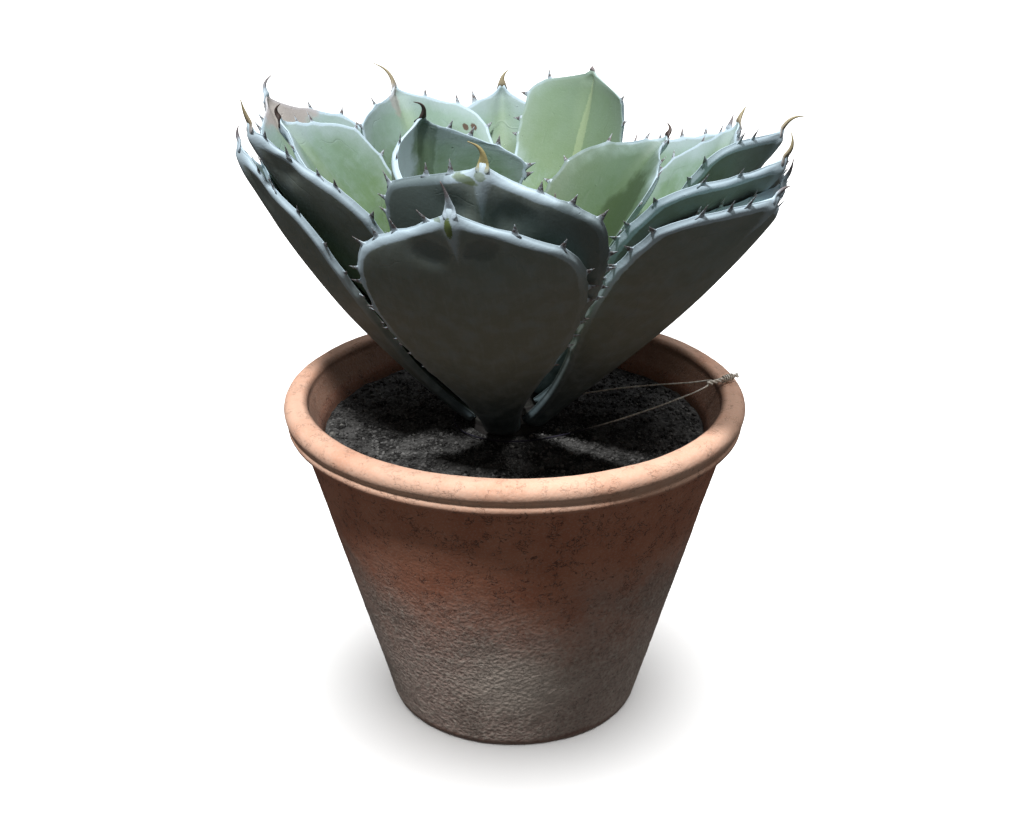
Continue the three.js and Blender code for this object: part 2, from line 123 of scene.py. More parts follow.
class Signal:
    """A node's output that takes part in Python arithmetic, which adds Math nodes."""

    def __init__(self, shader: "Shader", socket: NodeSocket) -> None:
        """Wraps one output socket of a shader's node."""
        self.shader = shader
        self.socket = socket

    def _maths(self, operation: str, first: Any, second: Any) -> "Signal":
        """One Math node on two values.

        Args:
            operation: What the node works out.
            first: A number or a signal.
            second: Another one.

        Returns:
            The node's output.
        """
        return self.shader.node(
            "ShaderNodeMath", {"operation": operation}, {"Value": first, "Value_001": second}
        )

    def __add__(self, other: Any) -> "Signal":
        """This plus the other."""
        return self._maths("ADD", self, other)

    def __radd__(self, other: Any) -> "Signal":
        """The other plus this."""
        return self._maths("ADD", other, self)

    def __sub__(self, other: Any) -> "Signal":
        """This less the other."""
        return self._maths("SUBTRACT", self, other)

    def __rsub__(self, other: Any) -> "Signal":
        """The other less this."""
        return self._maths("SUBTRACT", other, self)

    def __mul__(self, other: Any) -> "Signal":
        """This times the other."""
        return self._maths("MULTIPLY", self, other)

    def __rmul__(self, other: Any) -> "Signal":
        """The other times this."""
        return self._maths("MULTIPLY", other, self)

    def __abs__(self) -> "Signal":
        """This without its sign."""
        return self._maths("ABSOLUTE", self, 0.0)

    def most(self, other: Any) -> "Signal":
        """The larger of this and the other."""
        return self._maths("MAXIMUM", self, other)

    def step(self, low: float, high: float) -> "Signal":
        """A smooth step of this from 0 at low to 1 at high, or from 1 to 0 if low is the larger.

        Args:
            low: The value at which the step is 0.
            high: The value at which it is 1.

        Returns:
            The step.
        """
        settings = {"interpolation_type": "SMOOTHSTEP"}
        ends = {"From Min": min(low, high), "From Max": max(low, high)}
        rising = low < high
        targets = {"To Min": 0.0 if rising else 1.0, "To Max": 1.0 if rising else 0.0}
        return self.shader.node("ShaderNodeMapRange", settings, {"Value": self, **ends, **targets})


class Shader:
    """A material's nodes round one Principled shader."""

    def __init__(self, name: str) -> None:
        """Starts an empty material with a Principled shader and an output.

        Args:
            name: The material's name.
        """
        self.material: Material = bpy.data.materials.new(name)
        self.material.use_nodes = True
        self.tree = self.material.node_tree
        self.tree.nodes.clear()
        self.surface = self.tree.nodes.new("ShaderNodeBsdfPrincipled")
        output = self.tree.nodes.new("ShaderNodeOutputMaterial")
        self.tree.links.new(self.surface.outputs["BSDF"], output.inputs["Surface"])

    def _feed(self, socket: NodeSocket, value: Any) -> None:
        """Links a signal to a socket or sets a plain value on it.

        Args:
            socket: The input.
            value: A signal, or else a number, a vector or a colour.
        """
        if isinstance(value, Signal):
            self.tree.links.new(value.socket, socket)
        else:
            socket.default_value = value

    def node(
        self,
        kind: str,
        settings: dict[str, Any] | None = None,
        sockets: dict[str, Any] | None = None,
        out: str | None = None,
    ) -> Signal:
        """Adds a node.

        Args:
            kind: The node's type.
            settings: Its own settings, which are set first.
            sockets: Values or signals for its inputs, by identifier.
            out: The identifier of the output to use, or None for the first.

        Returns:
            The chosen output.
        """
        made = self.tree.nodes.new(kind)
        for key, value in (settings or {}).items():
            setattr(made, key, value)
        inputs = {socket.identifier: socket for socket in made.inputs}
        for key, value in (sockets or {}).items():
            self._feed(inputs[key], value)
        outputs = {socket.identifier: socket for socket in made.outputs}
        return Signal(self, outputs[out] if out else made.outputs[0])

    def place(self) -> Signal:
        """The point on the piece, in metres."""
        return self.node("ShaderNodeTexCoord", out="Object")

    def attribute(self, name: str) -> Signal:
        """A number that the mesh carries at each vertex."""
        return self.node("ShaderNodeAttribute", {"attribute_name": name}, out="Fac")

    def height(self) -> Signal:
        """The height of the point over the pot's underside, in metres."""
        return self.node("ShaderNodeSeparateXYZ", None, {"Vector": self.place()}, "Z")

    def stretched(self, vector: Signal, scale: Sequence[float], shift: Sequence[float]) -> Signal:
        """A vector scaled along each axis and then moved.

        Args:
            vector: The vector.
            scale: What its parts are multiplied by.
            shift: What is then added to them.

        Returns:
            The new vector.
        """
        settings = {"operation": "MULTIPLY_ADD"}
        sockets = {"Vector": vector, "Vector_001": scale, "Vector_002": shift}
        return self.node("ShaderNodeVectorMath", settings, sockets)

    def length(self, vector: Signal) -> Signal:
        """A vector's length."""
        return self.node("ShaderNodeVectorMath", {"operation": "LENGTH"}, {"Vector": vector}, "Value")

    def cloud(self, vector: Signal, cloud: Cloud) -> Signal:
        """Soft noise from about 0.25 to 0.75 round 0.5.

        Args:
            vector: Where the noise is taken.
            cloud: The noise's settings.

        Returns:
            The noise.
        """
        if (cloud.stretch, cloud.shift) != ((1, 1, 1), (0, 0, 0)):
            vector = self.stretched(vector, cloud.stretch, cloud.shift)
        sockets = {"Vector": vector, "Scale": cloud.scale, "Detail": cloud.detail}
        form = {"Roughness": cloud.rough, "Distortion": cloud.warp}
        return self.node("ShaderNodeTexNoise", None, {**sockets, **form})

    def cells(self, vector: Signal, scale: float, feature: str = "F1") -> Signal:
        """The distance in a pattern of cells, as its feature says."""
        sockets = {"Vector": vector, "Scale": scale, "Randomness": 1.0}
        return self.node("ShaderNodeTexVoronoi", {"feature": feature}, sockets, "Distance")

    def blend(self, share: Any, low: Any, high: Any) -> Signal:
        """A colour between two others."""
        sockets = {"Factor_Float": share, "A_Color": low, "B_Color": high}
        return self.node("ShaderNodeMix", {"data_type": "RGBA"}, sockets, "Result_Color")

    def layered(self, base: Any, layers: Iterable[tuple[Any, Any]]) -> Any:
        """A colour with others laid over it in turn, each given after how much of it shows.

        Args:
            base: The lowest colour.
            layers: How much of each further colour shows, from 0 to 1, and the colour.

        Returns:
            The colour that shows.
        """
        for share, colour in layers:
            base = self.blend(share, base, colour)
        return base

    def bump(self, height: Signal, distance: float, strength: float, under: Signal | None = None) -> Signal:
        """A normal that is tilted by a relief.

        Args:
            height: The relief, as a share of its depth.
            distance: Its depth, in millimetres.
            strength: How much of it shows, from 0 to 1.
            under: The normal of the relief that it lies on, if there is one.

        Returns:
            The normal.
        """
        sockets = {"Height": height, "Distance": distance * MM, "Strength": strength}
        if under is not None:
            sockets["Normal"] = under
        return self.node("ShaderNodeBump", None, sockets)

    def dress(self, **sockets: Any) -> Material:
        """Sets the Principled shader's inputs.

        Args:
            **sockets: Values or signals by the input's name, with _ for a space.

        Returns:
            The material.
        """
        inputs = {socket.name.lower(): socket for socket in self.surface.inputs}
        for key, value in sockets.items():
            self._feed(inputs[key.replace("_", " ")], value)
        return self.material


def finished(bm: bmesh.types.BMesh, name: str, materials: Sequence[Material]) -> Object:
    """Turns a shape in millimetres into a piece that rides on the model.

    Args:
        bm: The shape, which is freed.
        name: The piece's name.
        materials: Its materials, by the faces' material index.

    Returns:
        The piece, with its place in its mesh.
    """
    bmesh.ops.recalc_face_normals(bm, faces=bm.faces[:])
    bmesh.ops.scale(bm, vec=(MM, MM, MM), verts=bm.verts[:])
    mesh = bpy.data.meshes.new(name)
    bm.to_mesh(mesh)
    bm.free()
    for material in materials:
        mesh.materials.append(material)
    piece = bpy.data.objects.new(name, mesh)
    bpy.context.scene.collection.objects.link(piece)
    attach(piece, BODY)
    LOG.info("%s: %d triangles", name, sum(len(face.vertices) - 2 for face in mesh.polygons))
    return piece


def added(whole: bmesh.types.BMesh, part: bmesh.types.BMesh, attribute: str) -> None:
    """Adds a shape to another with one of its attributes, and frees it.

    Args:
        whole: The shape that it is added to.
        part: The shape that is added.
        attribute: The number at each vertex that is kept.
    """
    kept = part.verts.layers.float[attribute]
    values = [vert[kept] for vert in part.verts]
    start = len(whole.verts)
    mesh = bpy.data.meshes.new("part")
    part.to_mesh(mesh)
    part.free()
    whole.from_mesh(mesh)
    bpy.data.meshes.remove(mesh)
    whole.verts.ensure_lookup_table()
    layer = whole.verts.layers.float[attribute]
    for vert, value in zip(whole.verts[start:], values):
        vert[layer] = value


def horn(
    whole: bmesh.types.BMesh, sides: int, steps: int, material: int, place: Callable[[float, float], Vector]
) -> None:
    """Adds a closed cone whose rings are placed by a rule.

    Args:
        whole: The shape that it is added to.
        sides: How many faces go round.
        steps: How many rings of faces it has.
        material: The faces' material index.
        place: Gives a vertex's place from its share of the length and its angle round it.
    """
    bm = bmesh.new()
    reach = bm.verts.layers.float.new("reach")
    bmesh.ops.create_cone(bm, cap_ends=True, segments=sides, radius1=1, radius2=0.5, depth=1)
    lengthwise = [edge for edge in bm.edges if abs(edge.verts[0].co.z - edge.verts[1].co.z) > 0.5]
    bmesh.ops.subdivide_edges(bm, edges=lengthwise, cuts=steps - 1)
    for vert in bm.verts:
        share = vert.co.z + 0.5
        vert[reach] = share
        vert.co = place(share, math.atan2(vert.co.y, vert.co.x))
    for face in bm.faces:
        face.material_index = material
    added(whole, bm, "reach")


def arc(centre: Pair, radius: float, start: float, end: float, steps: int) -> list[Pair]:
    """Points on an arc of a profile.

    Args:
        centre: The arc's centre as a radius and a height.
        radius: The arc's own radius.
        start: Its first angle, in degrees over the horizontal.
        end: Its last angle.
        steps: How many parts it is split into.

    Returns:
        The points as pairs of radius and height.
    """
    points = []
    for i in range(steps + 1):
        angle = math.radians(lerp(start, end, i / steps))
        points.append((centre[0] + radius * math.cos(angle), centre[1] + radius * math.sin(angle)))
    return points


def turned(profile: Iterable[Pair], sides: int, longest: float) -> bmesh.types.BMesh:
    """Turns a profile once round the Z axis.

    Args:
        profile: Pairs of radius and height, from the foot of the axis to its top.
        sides: How many faces go round.
        longest: The longest edge that the profile may keep, in millimetres.

    Returns:
        The closed shape.
    """
    bm = bmesh.new()
    verts = [bm.verts.new((radius, 0.0, height)) for radius, height in profile]
    for pair in zip(verts, verts[1:]):
        bm.edges.new(pair)
    while too_long := [edge for edge in bm.edges if edge.calc_length() > longest]:
        bmesh.ops.subdivide_edges(bm, edges=too_long, cuts=1)
    bmesh.ops.spin(
        bm,
        geom=bm.verts[:] + bm.edges[:],
        cent=(0, 0, 0),
        axis=(0, 0, 1),
        angle=math.tau,
        steps=sides,
        use_merge=True,
        use_duplicate=False,
    )
    bmesh.ops.remove_doubles(bm, verts=bm.verts[:], dist=1e-4)
    bmesh.ops.recalc_face_normals(bm, faces=bm.faces[:])
    for face in bm.faces:
        face.smooth = True
    return bm


def cut_by(
    target: bmesh.types.BMesh, cutters: Sequence[Matrix], radius: float, depth: float
) -> bmesh.types.BMesh:
    """Cuts round holes through a shape.

    Args:
        target: The shape, which is freed.
        cutters: Where each hole's middle is, with its axis along Z.
        radius: The holes' radius.
        depth: The cutters' length.

    Returns:
        The shape with its holes.
    """
    holder = bpy.data.objects.new("cut_target", bpy.data.meshes.new("cut_target"))
    target.to_mesh(holder.data)
    target.free()
    tool = bmesh.new()
    for matrix in cutters:
        bmesh.ops.create_cone(
            tool, cap_ends=True, segments=48, radius1=radius, radius2=radius, depth=depth, matrix=matrix
        )
    knife = bpy.data.objects.new("cut_tool", bpy.data.meshes.new("cut_tool"))
    tool.to_mesh(knife.data)
    tool.free()
    for each in (holder, knife):
        bpy.context.scene.collection.objects.link(each)
    cut = holder.modifiers.new("cut", "BOOLEAN")
    cut.operation = "DIFFERENCE"
    cut.object = knife
    bpy.context.view_layer.update()
    result = bmesh.new()
    graph = bpy.context.evaluated_depsgraph_get()
    result.from_mesh(bpy.data.meshes.new_from_object(holder.evaluated_get(graph)))
    for each in (holder, knife):
        mesh = each.data
        bpy.data.objects.remove(each)
        bpy.data.meshes.remove(mesh)
    return result


@dataclass(frozen=True)
class TerracottaFinish:
    """Fired clay that is bright at the rim, scratched above and grey and leathery below, with painted glints
    and painted shade in the leathery cells and a painted sheen low on the front.

    A range holds the two values between which a share goes from 0 to 1. Ranges of heights and
    distances are in millimetres, and the others are of noise, which lies round 0.5.
    """

    rim: Colour = paint(212, 172, 150)
    rim_warm: Colour = paint(192, 136, 108)
    wall: Colour = paint(186, 124, 98)
    ruddy: Colour = paint(174, 110, 84)
    inside: Colour = paint(132, 92, 72)
    weathered: Colour = paint(174, 154, 147)
    # Pale lime: real chalky bloom, and also the painted glints and painted sheen low on the wall
    lime_and_sheen: Colour = paint(206, 196, 186)
    mark: Colour = paint(76, 42, 30)
    # Stains, and also the painted shade in the hollows of the low wall's cells
    stain_and_shade: Colour = paint(88, 74, 66)
    foot: Colour = paint(120, 70, 52)
    broad: Cloud = Cloud(14, 4, 0.55)
    patch: Cloud = Cloud(38, 5, 0.6, shift=(3, 5, 7))
    grain: Cloud = Cloud(900, 3, 0.6)
    grit: Cloud = Cloud(2600, 2)
    hide: Cloud = Cloud(480, 3, 0.6, 0.4)
    scratches: Cloud = Cloud(105, 2, 0.5, 2.2, (1, 1, 1.2), (9, 2, 4))
    nicks: Cloud = Cloud(170, 2, 0.5, 1.6, (1, 1, 0.8), (1, 8, 3))
    marked: Cloud = Cloud(120, 2, shift=(5, 5, 1))
    creases: Cloud = Cloud(210, 2, 0.5, 0.3, (0.22, 1, 1.6), (2, 2, 2))
    crease_slant: float = 36.0
    cells_a_metre: float = 470.0
    rim_range: Pair = (174.0, 177.5)
    base_radius: float = 73.8
    wall_slope: float = 0.2752
    within_range: Pair = (-6.5, -10.0)
    weather_range: Pair = (134.0, 48.0)
    weather_wander: Pair = (90.0, 50.0)
    # Centre and reach of a painted sheen, a pale patch low on the front of the wall
    painted_sheen_shift: Place = (0.0, 0.084, -0.058)
    painted_sheen_range: Pair = (46.0, 8.0)
    foot_range: Pair = (5.5, 2.5)
    scratch_range: Pair = (0.022, 0.008)
    nick_range: Pair = (0.018, 0.006)
    crease_range: Pair = (0.022, 0.0)
    # Painted shade in the hollows of the low wall's leathery cells
    pit_shade_range: Pair = (0.34, 0.14)
    # Painted glints on the ridges between the low wall's leathery cells
    ridge_glint_range: Pair = (0.46, 0.7)

    def _marks(self, s: Shader, place: Signal, patch: Signal) -> Signal:
        """Where the clay is scratched or nicked, from 0 to 1.

        Args:
            s: The material's shader.
            place: The point on the piece, in metres.
            patch: The noise of its patches.

        Returns:
            1 on a mark and 0 off it.
        """
        marked = s.cloud(place, self.marked).step(0.48, 0.54)
        scratch = abs(s.cloud(place, self.scratches) - 0.5).step(*self.scratch_range)
        nick = abs(s.cloud(place, self.nicks) - 0.5).step(*self.nick_range)
        return (scratch * marked).most(nick * marked * patch.step(0.42, 0.52))

    def _crease(self, s: Shader, place: Signal) -> Signal:
        """Where long slanted wrinkles run, from 0 to 1.

        Args:
            s: The material's shader.
            place: The point on the piece, in metres.

        Returns:
            1 on a wrinkle and 0 off it.
        """
        turn = (0.0, math.radians(self.crease_slant), 0.0)
        slanted = s.node("ShaderNodeMapping", None, {"Vector": place, "Rotation": turn})
        return abs(s.cloud(slanted, self.creases) - 0.5).step(*self.crease_range)

    def _within(self, s: Shader, place: Signal, level: Signal, patch: Signal) -> Signal:
        """Where the surface is on the inside of the pot, from 0 to 1.

        Args:
            s: The material's shader.
            place: The point on the piece, in metres.
            level: The point's height, in millimetres.
            patch: The noise of its patches.

        Returns:
            1 on the inside and 0 on the outside.
        """
        from_axis = s.length(s.stretched(place, (1, 1, 0), (0, 0, 0)))
        beyond_wall = from_axis * (1 / MM) - self.base_radius - level * self.wall_slope
        return (beyond_wall + (patch - 0.5) * 4).step(*self.within_range)

    def material(self) -> Material:
        """Makes the clay's material.

        Returns:
            The material.
        """
        s = Shader("fired_clay")
        place = s.place()
        level = s.height() * (1 / MM)
        broad, patch, grain, grit, hide = (
            s.cloud(place, cloud) for cloud in (self.broad, self.patch, self.grain, self.grit, self.hide)
        )
        cells = s.cells(place, self.cells_a_metre, "SMOOTH_F1")

        on_rim = level.step(*self.rim_range)
        wander = (broad - 0.5) * self.weather_wander[0] + (patch - 0.5) * self.weather_wander[1]
        weather = (level + wander).step(*self.weather_range)
        crease = self._crease(s, place) * weather
        marks = self._marks(s, place, patch) * (1 - on_rim * 0.55)
        chalky = (hide.step(0.48, 0.62) * patch.step(0.34, 0.5)).most(crease * 0.6) * weather
        # Painted sheen: a pale patch low on the front of the wall that stands in for a glint of light
        off_painted_sheen = s.length(s.stretched(place, (1, 1, 1.2), self.painted_sheen_shift)) * (1 / MM)
        painted_sheen = (off_painted_sheen + (patch - 0.5) * 30).step(*self.painted_sheen_range)
        rim = s.blend(patch.step(0.4, 0.72) * 0.55, self.rim, self.rim_warm)
        layers = (
            (patch.step(0.36, 0.66), self.ruddy),
            (weather * 0.92, self.weathered),
            (weather * broad.step(0.5, 0.34) * 0.55, self.stain_and_shade),
            (chalky * 0.5, self.lime_and_sheen),
            # painted shade in the cells' hollows
            (cells.step(*self.pit_shade_range) * weather * 0.45, self.stain_and_shade),
            # painted glints on the cells' ridges
            (cells.step(*self.ridge_glint_range) * weather * 0.5, self.lime_and_sheen),
            # painted sheen low on the front of the wall
            (painted_sheen * 0.65, self.lime_and_sheen),
            ((level + (patch - 0.5) * 8).step(*self.foot_range) * 0.7, self.foot),
            (on_rim, rim),
            (self._within(s, place, level, patch) * 0.75, self.inside),
            (marks * (0.75 - weather * 0.45), self.mark),
            (grit.step(0.6, 0.7) * 0.12, self.mark),
            (grain.step(0.5, 0.38) * 0.15, self.lime_and_sheen),
        )
        leather = (cells * 1.3 + hide * 0.9 + crease * 0.8) * (weather * 0.8 + 0.2)
        relief = grain * 0.35 + grit * 0.18 - marks
        normal = s.bump(relief, 0.5, 0.6, s.bump(leather, 0.75, 0.7))
        rough = 0.84 - weather * 0.4 + grain * 0.1
        body = s.layered(self.wall, layers)
        return s.dress(base_color=body, roughness=rough, normal=normal, specular_ior_level=0.7)


@dataclass(frozen=True)
class SoilFinish:
    """Near-black potting soil with a few paler grains."""

    dark: Colour = paint(26, 26, 26)
    damp: Colour = paint(70, 70, 70)
    crumb: Colour = paint(112, 112, 112)
    grit: Colour = paint(112, 112, 110)
    clods: Cloud = Cloud(90, 4, 0.6)
    fine: Cloud = Cloud(700, 4, 0.65)
    damp_range: Pair = (0.4, 0.62)
    crumb_range: Pair = (0.5, 0.64)
    pale_grains: Pair = (0.5, 0.95)
    palest_grains: Pair = (0.975, 0.99)
    relief_depth: float = 1.8

    def material(self) -> Material:
        """Makes the soil's material.

        Returns:
            The material.
        """
        s = Shader("potting_soil")
        clods, fine = s.cloud(s.place(), self.clods), s.cloud(s.place(), self.fine)
        tone = s.attribute("tone")
        layers = (
            (clods.step(*self.damp_range), self.damp),
            (fine.step(*self.crumb_range) * 0.5, self.crumb),
            (tone.step(*self.pale_grains) * 0.8, self.crumb),
            (tone.step(*self.palest_grains), self.grit),
        )
        normal = s.bump(fine + clods * 0.6, self.relief_depth, 1.0)
        body = s.layered(self.dark, layers)
        return s.dress(base_color=body, roughness=0.96, normal=normal, specular_ior_level=0.2)


@dataclass(frozen=True)
class StemFinish:
    """The plant's short neck: painted nearly black as shade, with the scars of old leaves."""

    green: Colour = paint(34, 35, 32)
    brown: Colour = paint(26, 23, 23)
    rings: Cloud = Cloud(1, stretch=(60, 60, 420))
    fine: Cloud = Cloud(800)
    relief_depth: float = 0.8

    def material(self) -> Material:
        """Makes the neck's material.

        Returns:
            The material.
        """
        s = Shader("scarred_neck_in_painted_shade")
        rings, fine = s.cloud(s.place(), self.rings), s.cloud(s.place(), self.fine)
        # Both tones are painted shade: near black, as the neck lies deep under the rosette
        body = s.blend(rings.step(0.4, 0.6), self.green, self.brown)
        normal = s.bump(rings + fine * 0.4, self.relief_depth, 0.7)
        return s.dress(base_color=body, roughness=0.8 + fine * 0.1, normal=normal)


@dataclass(frozen=True)
class WireFinish:
    """Dull galvanised wire with spots of grime, and painted shade in dark violet where it lies on the soil
    round the neck.
    """

    bright: Colour = paint(236, 232, 224)
    grime: Colour = paint(198, 191, 180)
    # Painted shade for the wire low round the neck
    band: Colour = paint(34, 32, 46)
    spots: Cloud = Cloud(420, 4, 0.6)
    band_range: Pair = (0.1790, 0.1740)
    relief_depth: float = 0.15

    def material(self) -> Material:
        """Makes the wire's material.

        Returns:
            The material.
        """
        s = Shader("dull_wire")
        spots = s.cloud(s.place(), self.spots)
        grimy = spots.step(0.42, 0.62)
        # Painted shade: below this height the wire turns dark violet, where the crown shades its loop
        low = s.height().step(*self.band_range)
        body = s.layered(self.bright, ((grimy, self.grime), (low, self.band)))
        normal = s.bump(spots, self.relief_depth, 0.5)
        rough = (0.45 + grimy * 0.25).most(low * 0.95)
        return s.dress(base_color=body, metallic=0.15, roughness=rough, normal=normal, specular_ior_level=0.3)


class HornTone(Enum):
    """A tip spine's colours at foot and point, the bloom on its foot and how far that reaches."""

    GOLDEN = (paint(160, 152, 106), paint(140, 128, 88), paint(142, 158, 158), 0.36)
    OLIVE = (paint(134, 124, 104), paint(138, 128, 96), paint(150, 150, 152), 0.42)
    TAN = (paint(140, 148, 158), paint(100, 90, 92), paint(176, 194, 208), 0.66)
    DARK = (paint(52, 42, 40), paint(70, 56, 52), paint(72, 66, 66), 0.3)


@dataclass(frozen=True)
class HornFinish:
    """Hard horn of the spines and teeth, which fades into the leaf's bloom at its foot."""

    foot: Colour
    point: Colour
    bloom: Colour
    bloom_end: float
    mottled: float = 0.0
    fibres: Cloud = Cloud(1500, 3, 0.6)
    powder: Cloud = Cloud(620, 3, 0.6)
    bloom_fade: float = 0.2
    relief_depth: float = 0.2

    def material(self, name: str) -> Material:
        """Makes the horn's material under a name.

        Args:
            name: The material's name.

        Returns:
            The material.
        """
        s = Shader(name)
        reach = s.attribute("reach")
        fibres = s.cloud(s.place(), self.fibres)
        powder = s.cloud(s.place(), self.powder).step(0.46, 0.6) * self.mottled
        aged = (reach + (fibres - 0.5) * 0.5).step(0.3, 0.95)
        low = (reach + (fibres - 0.5) * 0.2).step(self.bloom_end, self.bloom_end - self.bloom_fade)
        body = s.layered(self.foot, ((aged, self.point), (low.most(powder), self.bloom)))
        normal = s.bump(fibres, self.relief_depth, 0.5)
        return s.dress(base_color=body, roughness=0.42 + fibres * 0.25, normal=normal)


@dataclass(frozen=True)
class Scuff:
    """A mark on one face of a leaf, placed in millimetres over its surface."""

    across: float
    along: float
    width: float
    height: float
    tone: Colour
    upper: bool = False
    strength: float = 1.0


@dataclass(frozen=True)
class LeafFinish:
    """Waxy leaf skin: pale green inside, slate outside, and bluish white along the margin, with painted shade
    at the foot and painted highlights on the margin's curl and on the keel.

    Clouds are to the millimetre on the leaf's own surface. The ranges of growth are shares of
    the leaf's length, and those of the edge and the rib are in millimetres.
    """

    length: float
    seed: int
    scuffs: tuple[Scuff, ...] = ()
    inner_foot: Colour = paint(94, 120, 76)
    inner_green: Colour = paint(94, 120, 93)
    inner_bloom: Colour = paint(132, 158, 149)
    rib: Colour = paint(140, 158, 112)
    # Painted shade at the foot of the outer face, low in the rosette
    outer_foot_shade: Colour = paint(50, 64, 67)
    # Painted shade over the inner face near its foot
    shade: Colour = paint(40, 50, 38)
    outer_skin: Colour = paint(104, 111, 102)
    outer_bloom: Colour = paint(116, 128, 126)
    # Pale bloom of the margin, also used for the painted highlight along the keel
    margin: Colour = paint(158, 175, 186)
    # Pale band of the margin: bloom, and partly a painted highlight where the margin curls up
    band: Colour = paint(176, 197, 212)
    dent: Colour = paint(84, 98, 98)
    broad: Cloud = Cloud(0.028, 3, 0.55)
    mottle: Cloud = Cloud(0.11, 4, 0.6)
    streaks: Cloud = Cloud(1, 3, 0.55, stretch=(0.55, 0.06, 1))
    fine: Cloud = Cloud(0.9, 3, 0.6)
    wax: Cloud = Cloud(0.3, 4, 0.62, 0.6)
    drift: Cloud = Cloud(0.06)
    print_path: Cloud = Cloud(0.035, 2)
    print_gaps: Cloud = Cloud(0.05, 1)
    specks_a_millimetre: float = 0.16
    seed_step: float = 53.0
    green_range: Pair = (0.42, 0.74)
    bloom_range: Pair = (0.66, 0.98)
    painted_shade_range: Pair = (0.45, 0.15)
    slate_range: Pair = (0.05, 0.5)
    outer_bloom_range: Pair = (0.62, 1.0)
    rib_range: Pair = (13.0, 0.0)
    print_inset: float = 17.0
    print_wander: float = 46.0
    print_range: Pair = (1.1, 0.2)
    frost_range: Pair = (17.0, 0.0)
    frost_growth: Pair = (0.45, 0.9)
    band_range: Pair = (4.9, 3.6)
    # Where the painted highlight along the outer keel fades, in millimetres
    keel_range: Pair = (12.0, 7.0)
    lit_keel_run: float = 70.0
    ragged_spots: float = 5.0
    scuff_range: Pair = (1.15, 0.55)
    relief_depth: float = 0.5

    def _growth(self, s: Shader) -> Signal:
        """How far up the leaf a point is, as a share of its length."""
        return s.attribute("along_mm") * (1 / self.length)

    def _skin(self, s: Shader, surface: Signal, upper: Signal) -> Signal:
        """The colour of the two faces without their margin.

        Args:
            s: The material's shader.
            surface: The point on the flattened blade, apart for each leaf.
            upper: 1 on the upper face and 0 on the lower.

        Returns:
            The colour.
        """
        along = self._growth(s)
        rib = abs(s.attribute("across_mm")).step(*self.rib_range)
        broad, mottle = s.cloud(surface, self.broad), s.cloud(surface, self.mottle)
        wander = (broad - 0.5) * 0.35
        inner = s.layered(self.inner_foot, (
            ((along + wander).step(*self.green_range), self.inner_green),
            ((along + wander * 1.4).step(*self.bloom_range) * 0.85, self.inner_bloom),
            (rib * broad * 0.5, self.rib),
            # painted shade near the foot of the inner face
            (along.step(*self.painted_shade_range), self.shade),
        ))
        # The outer face starts from painted shade at its foot
        outer = s.layered(self.outer_foot_shade, (
            ((along + wander * 0.5).step(*self.slate_range), self.outer_skin),
            ((along + wander).step(*self.outer_bloom_range) * 0.8, self.outer_bloom),
            (mottle.step(0.52, 0.68) * 0.3, self.dent),
        ))
        return s.layered(outer, ((upper, inner), (mottle.step(0.4, 0.7) * 0.14, self.margin)))

    def _scuff(self, s: Shader, scuff: Scuff, surface: Signal, upper: Signal) -> Signal:
        """How much of one soft-edged mark shows.

        Args:
            s: The material's shader.
            scuff: The mark.
            surface: The point on the flattened blade, apart for each leaf.
            upper: 1 on the upper face and 0 on the lower.

        Returns:
            The share, up to the mark's strength.
        """
        ragged = s.cloud(surface, Cloud(self.ragged_spots / scuff.width, 3, 0.55))
        x = (s.attribute("across_mm") - scuff.across) * (2 / scuff.width)
        y = (s.attribute("along_mm") - scuff.along) * (2 / scuff.height)
        far = x * x + y * y + (ragged - 0.5) * 1.3
        face = upper if scuff.upper else 1 - upper
        return far.step(*self.scuff_range) * face * scuff.strength

    def material(self) -> Material:
        """Makes the material of one leaf's blade.

        Returns:
            The material.
        """
        s = Shader(f"leaf_skin_{self.seed:02d}")
        across, along = s.attribute("across_mm"), self._growth(s)
        sockets = {"X": across, "Y": s.attribute("along_mm"), "Z": self.seed * self.seed_step}
        surface = s.node("ShaderNodeCombineXYZ", None, sockets)
        upper, edge = s.attribute("upper"), s.attribute("margin_mm")
        streaks, fine, wax, drift, path, gaps = (
            s.cloud(surface, cloud)
            for cloud in (self.streaks, self.fine, self.wax, self.drift, self.print_path, self.print_gaps)
        )
        off_print = abs(edge - self.print_inset + (path - 0.5) * self.print_wander)
        bud_print = off_print.step(*self.print_range) * gaps.step(0.47, 0.56)
        specks = s.cells(surface, self.specks_a_millimetre).step(0.13, 0.05) * wax.step(0.5, 0.62)
        frost = (edge + (drift - 0.5) * 16).step(*self.frost_range) * upper * along.step(*self.frost_growth)
        # The pale band along the margin is bloom and partly a painted highlight on the upturned curl
        inwards = (wax - 0.5) * 1.6 + edge + upper * 2.8
        band = inwards.step(*self.band_range) * (s.attribute("band") * 0.78 + 0.08)
        # A painted highlight along the keel of the outer face, below the tip
        off_lit_keel = abs(across) * 1.6 + (1 - along) * self.lit_keel_run + (fine - 0.5) * 3
        skin = s.layered(self._skin(s, surface, upper), (
            (streaks.step(0.5, 0.75) * 0.07, self.margin),
            (bud_print * 0.14, self.dent),
            (specks * 0.5, self.dent),
            (wax.step(0.6, 0.72) * 0.1, self.inner_foot),
            (frost * 0.55, self.margin),
            (band, self.band),
            # painted highlight along the outer keel
            (off_lit_keel.step(*self.keel_range) * (1 - upper) * 0.75, self.margin),
            *((self._scuff(s, scuff, surface, upper), scuff.tone) for scuff in self.scuffs),
        ))
        relief = fine * 0.25 + wax * 0.5 + streaks * 0.35 - bud_print * 0.3 - specks * 0.6
        normal = s.bump(relief, self.relief_depth, 0.5)
        return s.dress(base_color=skin, roughness=0.5 + wax * 0.2, normal=normal, specular_ior_level=0.42)


